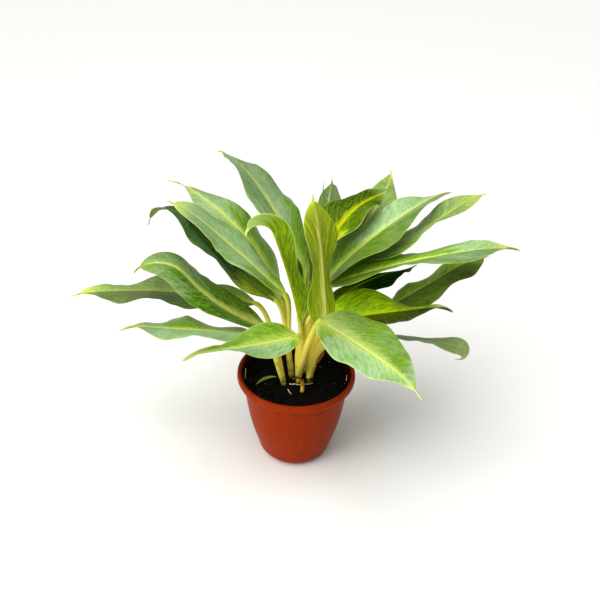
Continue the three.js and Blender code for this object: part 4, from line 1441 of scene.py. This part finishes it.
@dataclass(frozen=True)
class PottingMix:
    """The damp mix: a crumbly mound, with crumbs, bark, grit, fibres, fine roots and a torn leaf on it.

    over is how high the long root's middle lies above the mix, and about how high the torn leaf's does.
    wall_bend is the height where the pot's inside starts to widen towards its lip.
    """

    edge_level: float = 91.5
    crown: float = 2.5
    mound_radius: float = 53.5
    gap: float = 0.3
    floor: float = 3.7
    rings: int = 90
    around: int = 240
    scatter_radius: float = 52.0
    fibres: int = 26
    fibre_radius: float = 46.0
    fibre_seed: int = 14
    over: float = 1.3
    clinging_radius: float = 0.35
    wall_bend: float = 95.0
    torn_length: float = 26.0
    torn_half_width: float = 1.8
    torn_curl: float = 2.2
    torn_thickness: float = 0.5

    def level(self, x: np.ndarray, y: np.ndarray) -> np.ndarray:
        """Height of the mix: a low mound plus three sizes of random lumps.

        Args:
            x: Places along X, in mm.
            y: Places along Y, in mm.

        Returns:
            Heights in mm.
        """
        share = np.minimum(1, np.hypot(x, y) / self.mound_radius)
        rough = 0.7 * lumps(x, y, 9, 1) + 0.55 * lumps(x, y, 4, 2) + 0.35 * lumps(x, y, 1.7, 3)
        return self.edge_level + self.crown * (1 - share ** 2) + rough * (1 - 0.6 * share ** 4)

    def mound(self, pot: NurseryPot) -> Shell:
        """The plug that fills the pot, clear of its wall, with a crumbly top.

        Args:
            pot: The pot that holds it.

        Returns:
            The shell.
        """
        turn = np.arange(self.around) * 2 * np.pi / self.around
        z = np.linspace(self.floor, self.edge_level - 1.5, 30)
        sides = np.stack([pot.side(z) - pot.wall - self.gap, z], -1)
        wall = np.stack(np.broadcast_arrays(
            sides[:, :1] * np.cos(turn), sides[:, :1] * np.sin(turn), sides[:, 1:]), -1)
        radii = np.linspace(sides[-1, 0], 0.5, self.rings)[:, None]
        x, y = radii * np.cos(turn), radii * np.sin(turn)
        top = np.stack([x, y, self.level(x, y)], -1)
        end = np.array([0, 0, float(self.level(np.zeros(1), np.zeros(1))[0])])
        return closed_rings(np.concatenate([wall, top]), np.array([0, 0, self.floor]), end, {})

    def scattered(self, bits: Scatter) -> Shell:
        """Loose lumps on the mix: a jittered icosahedron, squashed, turned and laid at each random place.

        Args:
            bits: The lumps' number, sizes and seed.

        Returns:
            One shell that holds them all.
        """
        rng = np.random.default_rng(bits.seed)
        count = bits.count
        golden = (1 + math.sqrt(5)) / 2
        flat = np.array([(a, b) for a in (-1, 1) for b in (-golden, golden)])
        zero = np.zeros(4)
        corners = unit(np.concatenate([
            np.stack([zero, flat[:, 0], flat[:, 1]], -1),
            np.stack([flat[:, 0], flat[:, 1], zero], -1),
            np.stack([flat[:, 1], zero, flat[:, 0]], -1)]))
        gaps = np.linalg.norm(corners[:, None] - corners, axis=-1)
        near = (gaps > 0) & (gaps < 1.1)
        faces = [
            [a, b, c] if np.linalg.det(corners[[a, b, c]]) > 0 else [a, c, b]
            for a in range(12) for b in range(a + 1, 12) for c in range(b + 1, 12)
            if near[a, b] and near[b, c] and near[a, c]
        ]
        radius = self.scatter_radius * np.sqrt(rng.uniform(0, 1, count))
        turn = rng.uniform(0, 2 * np.pi, count)
        x, y = radius * np.cos(turn), radius * np.sin(turn)
        size = bits.low + (bits.high - bits.low) * rng.uniform(0, 1, count) ** 2.5
        size = np.minimum(size, self.scatter_radius - radius + 0.6)
        shape = corners[None] * rng.uniform(0.7, 1.25, (count, 12, 1))
        shape = shape * size[:, None, None] * rng.uniform(0.6, 1.2, (count, 1, 3)) * [1, 1, 0.7]
        centre = np.stack([x, y, self.level(x, y) + 0.25 * size], -1)
        points = (shape + centre[:, None]).reshape(-1, 3)
        every = (np.arange(count)[:, None, None] * 12 + np.array(faces)[None]).reshape(-1, 3)
        return Shell(points, every.tolist(), {})

    def laid(self, crosses: list[Place], over: float, count: int) -> np.ndarray:
        """A line laid over the mix through three places seen from above.

        Args:
            crosses: The three places.
            over: Its height over the mix, in mm.
            count: How many points.

        Returns:
            Its points.
        """
        flat = through(crosses, np.linspace(0, 1, count))
        return np.concatenate([flat, (self.level(flat[:, 0], flat[:, 1]) + over)[:, None]], 1)

    def on_wall(self, pot: NurseryPot, crosses: list[Place], count: int) -> np.ndarray:
        """A line that clings to the pot's inner wall through three places.

        Args:
            pot: The pot.
            crosses: The three places, each an angle round the pot in degrees and a height in mm.
            count: How many points.

        Returns:
            Its points.
        """
        angle, z = through(crosses, np.linspace(0, 1, count)).T
        # Where the lip widens, above wall_bend, a root goes straight up.
        widest = pot.side(np.array([self.wall_bend]))
        radius = np.minimum(pot.side(z), widest) - pot.wall - self.clinging_radius
        return np.stack([radius * np.cos(np.radians(angle)), radius * np.sin(np.radians(angle)), z], -1)

    def torn_leaf(self) -> Shell:
        """A narrow, pointed strip that lies along its middle and curls up at both margins.

        Returns:
            The shell.
        """
        count = 41
        line = self.laid([(-42, -13), (-32, -3), (-21, 0)], self.over, count)
        line[:, 2] = np.linspace(line[0, 2], line[-1, 2], count) + 0.3
        along = unit(np.gradient(line, axis=0))
        across = unit(np.cross(along, UPWARDS))
        t = np.linspace(0, 1, count)
        half = self.torn_half_width * (0.1 + np.sin(np.pi * t) ** 0.8)
        s = np.linspace(-1, 1, 13)
        sheet = line[:, None] + across[:, None] * (half[:, None] * s)[..., None]
        sheet[..., 2] += self.torn_curl * (half[:, None] / 6) * s ** 2 + 0.15 * np.sin(9 * t)[:, None] * s
        share, side = np.meshgrid(t, s, indexing="ij")
        lift = np.array([0, 0, self.torn_thickness / 2])
        run = share * self.torn_length
        grain = np.stack([run, side * 3, np.full_like(side, 900.0)], -1)
        away = (1 - np.abs(side)) * half[:, None]
        return closed_sheet(sheet + lift, sheet - lift, {
            "grain": grain, "rib": np.abs(side) * 9, "reach": np.abs(side) * 6 + 2,
            "share": share * 0.5 + 0.3, "margin": away * 0.7, "vein": run, "inner": share * 2,
            "painted_light_and_tone": 0.4 + 0.6 * share})

    def strands(self, stalks: Stalks) -> Shell:
        """Short, bent fibres that lie over the mix at random.

        Args:
            stalks: The thin stalks that give them their tubes.

        Returns:
            One shell that holds them all.
        """
        rng = np.random.default_rng(self.fibre_seed)
        count = stalks.steps
        strands = None
        for _ in range(self.fibres):
            radius = self.fibre_radius * math.sqrt(rng.uniform())
            turn, heading = rng.uniform(0, 6.28), rng.uniform(0, 6.28)
            middle = np.array([radius * math.cos(turn), radius * math.sin(turn)])
            half = np.array([math.cos(heading), math.sin(heading)]) * rng.uniform(2, 6)
            side = np.array([-half[1], half[0]]) * rng.uniform(-0.5, 0.5)
            line = self.laid([tuple(middle - half), tuple(middle + side), tuple(middle + half)], 0.5, count)
            strand = stalks.tube(line, UPWARDS, np.full(count, rng.uniform(0.15, 0.3)))
            strands = strands.joined(strand) if strands else strand
        return strands

    def build(self, pot: NurseryPot, mix: bpy.types.Material, fibre: bpy.types.Material,
              root: bpy.types.Material, leaf: bpy.types.Material) -> None:
        """Makes the mix and everything that lies on it.

        Args:
            pot: The pot that holds it.
            mix: The mix's material.
            fibre: The bark's and fibres' material.
            root: The roots' material, also worn by the pale grit.
            leaf: The torn leaf's material.
        """
        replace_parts(make_piece("potting_mix", self.mound(pot), [mix]), "soil")
        for name, material in (("mix_crumbs", mix), ("bark_bits", fibre), ("pale_grit", root)):
            make_piece(name, self.scattered(LOOSE_BITS[name]), [material])
        thin = Stalks(around=8, steps=12)
        make_piece("mix_fibres", self.strands(thin), [fibre])
        stalks = Stalks(around=10)
        count = 40
        line = self.laid([(-6.8, -11.6), (3, -11.8), (18, -9)], self.over, count)
        long_root = stalks.tube(line, UPWARDS, 0.65 - 0.35 * np.linspace(0, 1, count))
        line = self.laid([(-8, -20), (-6.5, -24), (-4.5, -27)], 0.7, count // 2)
        short_root = stalks.tube(line, UPWARDS, np.linspace(0.6, 0.35, count // 2))
        roots = make_piece("surface_root", long_root.joined(short_root), [root])
        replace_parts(roots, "surface_root")
        finest = np.full(thin.steps, self.clinging_radius)
        across = UPWARDS + [0.3, 0, 0]
        left = self.on_wall(pot, [(174.5, 101), (180, 97.5), (184, 93)], thin.steps)
        right = self.on_wall(pot, [(0, 92.6), (4, 94.5), (3, 98)], thin.steps)
        clinging = thin.tube(left, across, finest).joined(thin.tube(right, across, finest))
        make_piece("wall_roots", clinging, [root])
        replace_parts(make_piece("torn_leaf_strip", self.torn_leaf(), [leaf, leaf]), "torn_leaf")


@dataclass(frozen=True)
class Studio:
    """The pale floor, the soft lights and the camera, which looks down at the plant's front."""

    distance: float = 900.0
    pitch: float = 32.9
    lean: float = 1.8
    target: Point = (1.5, 0.0, 193.0)
    focal: float = 899.0
    frame: float = 600.0
    sensor: float = 36.0
    floor_half: float = 60.0
    floor_colour: str = "#f4f4f3"
    sky_strength: float = 0.32
    aim: Point = (0.0, 0.0, 0.18)

    def placed(self, name: str, data: bpy.types.ID, axes: list[np.ndarray],
               place: Point) -> bpy.types.Object:
        """Puts a camera or a light into the scene. It looks away from its back direction.

        Args:
            name: The object's name.
            data: The camera or the light.
            axes: Its right, up and back directions.
            place: Where it stands, in metres.

        Returns:
            The new object.
        """
        made = bpy.data.objects.new(name, data)
        bpy.context.scene.collection.objects.link(made)
        matrix = np.eye(4)
        matrix[:3] = np.stack([*axes, np.array(place, float)], 1)
        made.matrix_world = [list(column) for column in matrix.T]
        return made

    def camera(self) -> None:
        """Makes the camera from the distance, pitch and lean that the pot's rim and upright edges gave."""
        pitch, lean = math.radians(self.pitch), math.radians(self.lean)
        back = np.array([0, -math.cos(pitch), math.sin(pitch)])
        right, up = np.array([1.0, 0, 0]), np.array([0, math.sin(pitch), math.cos(pitch)])
        tilted_right = right * math.cos(lean) + up * math.sin(lean)
        tilted_up = up * math.cos(lean) - right * math.sin(lean)
        place = (np.array(self.target) + back * self.distance) * MM
        made = bpy.data.cameras.new("camera")
        made.sensor_width = self.sensor
        made.lens = self.focal / self.frame * self.sensor
        made.clip_start, made.clip_end = 0.01, 200.0
        bpy.context.scene.camera = self.placed("camera", made, [tilted_right, tilted_up, back], place)

    def lit_from(self, name: str, made: bpy.types.Light, towards: Point, place: Point, colour: str) -> None:
        """Colours a light and puts it into the scene, so that it shines from one direction.

        Args:
            name: The light's name.
            made: The light.
            towards: The direction that it shines from.
            place: Where it stands, in metres.
            colour: Its colour as sRGB hex.
        """
        made.color = linear(colour)[:3]
        back = unit(np.array(towards, float))
        right = unit(np.cross(UPWARDS, back))
        self.placed(name, made, [right, np.cross(back, right), back], place)

    def light(self, name: str, place: Point, size: float, power: float, colour: str) -> None:
        """Adds a square soft light that faces the plant.

        Args:
            name: The light's name.
            place: Where it stands, in metres.
            size: The side of its square, in metres.
            power: Its power, in watts.
            colour: Its colour as sRGB hex.
        """
        made = bpy.data.lights.new(name, "AREA")
        made.shape, made.size, made.energy = "SQUARE", size, power
        self.lit_from(name, made, tuple(np.array(place) - np.array(self.aim)), place, colour)

    def sun(self, name: str, towards: Point, spread: float, strength: float, colour: str) -> None:
        """Adds a soft far light, which lights the whole floor alike.

        Args:
            name: The light's name.
            towards: The direction that it comes from.
            spread: How wide it looks, in degrees, which softens its shadows.
            strength: Its strength, in watts per square metre.
            colour: Its colour as sRGB hex.
        """
        made = bpy.data.lights.new(name, "SUN")
        made.angle, made.energy = math.radians(spread), strength
        self.lit_from(name, made, towards, (0.0, 0.0, 0.0), colour)

    def floor(self) -> None:
        """Makes the pale floor."""
        mesh = bpy.data.meshes.new("studio_floor")
        far = self.floor_half
        corners = [(-far, -far, 0), (far, -far, 0), (far, far, 0), (-far, far, 0)]
        mesh.from_pydata(corners, [], [(0, 1, 2, 3)])
        floor = bpy.data.objects.new("studio_floor", mesh)
        bpy.context.scene.collection.objects.link(floor)
        material, tree = new_material("pale_studio_floor")
        shader = add_node(tree, "ShaderNodeBsdfPrincipled", {
            "Base Color": linear(self.floor_colour), "Roughness": 0.9, "Specular IOR Level": 0.1})
        add_node(tree, "ShaderNodeOutputMaterial", {"Surface": shader.outputs[0]})
        mesh.materials.append(material)

    def surroundings(self) -> None:
        """Makes the white surroundings, which fill the shadows a little."""
        world = bpy.data.worlds.new("pale_surroundings")
        bpy.context.scene.world = world
        world.use_nodes = True
        world.node_tree.nodes.clear()
        sky = add_node(world.node_tree, "ShaderNodeBackground", {
            "Color": linear("#ffffff"), "Strength": self.sky_strength})
        add_node(world.node_tree, "ShaderNodeOutputWorld", {"Surface": sky.outputs[0]})

    def build(self) -> None:
        """Makes the floor, the surroundings, the lights and the camera."""
        self.floor()
        self.surroundings()
        self.sun("key_light", towards=(-0.36, -0.36, 1.0), spread=60.0, strength=2.5, colour="#fffdfa")
        self.light("top_light", place=(0.1, 0.25, 1.5), size=1.0, power=4.0, colour="#ffffff")
        self.light("front_light", place=(-1.2, -0.9, 0.6), size=0.8, power=10.0, colour="#ffffff")
        bpy.context.scene.view_settings.view_transform = "Standard"
        self.camera()


def main() -> None:
    """Loads the frame, dresses the plant, its pot and its mix, and sets up the studio."""
    logging.basicConfig(level=logging.INFO, format="%(name)s: %(message)s")
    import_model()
    tones = {tone: finish.material() for tone, finish in BLADE_FINISHES.items()}
    petiole = PetioleFinish(
        "petiole_fleshy", foot="#ead850", neck="#aec030", streak="#ece084", scar="#7a5220",
        scar_share=0.8).material()
    stem = PetioleFinish(
        "stem_sheathed", foot="#e2d250", neck="#b6c020", streak="#e4da70", scar="#4b2f12",
        scar_share=0.95).material()
    young = PetioleFinish(
        "young_leaf_rolled", foot="#7c9424", neck="#62861c", streak="#94ac40", scar="#6f7a25",
        scar_share=0.4).material()
    # The smear colour darkens the inside of the pot's wall nearly to black.
    plastic = MouldedPlasticFinish(
        "pot_moulded_polypropylene", base="#8a2800", worn_and_painted_shade_reach="#9c3800", smear="#0b0704",
        roughness=0.36).material()
    mix = MixFinish(
        "potting_mix_damp", dark="#050403", light="#1a130d", grit=1.6, light_share=0.5,
        roughness=0.9).material()
    fibre = MixFinish(
        "bark_and_fibre", dark="#170f08", light="#3a2817", grit=1.2, light_share=0.7,
        roughness=0.85).material()
    root = MixFinish(
        "root_skin", dark="#ece0b4", light="#a88c58", grit=2.0, light_share=0.6, roughness=0.7).material()
    tip = PetioleFinish(
        "root_stub_skin", foot="#84400c", neck="#d8a820", streak="#dcb44c", scar="#5a3010", scar_share=0.5,
        smear_share=0.0).material()
    dry = MixFinish(
        "bract_dry", dark="#8a5a20", light="#3c2209", grit=2.0, light_share=0.8, roughness=0.8).material()
    pot = NurseryPot()
    pot.build(plastic)
    PottingMix().build(pot, mix, fibre, root, tones[Tone.LIT])
    Stalks().build(stem, petiole, young, tip, dry)
    Blades().build(tones)
    Studio().build()


if __name__ == "__main__":
    main()
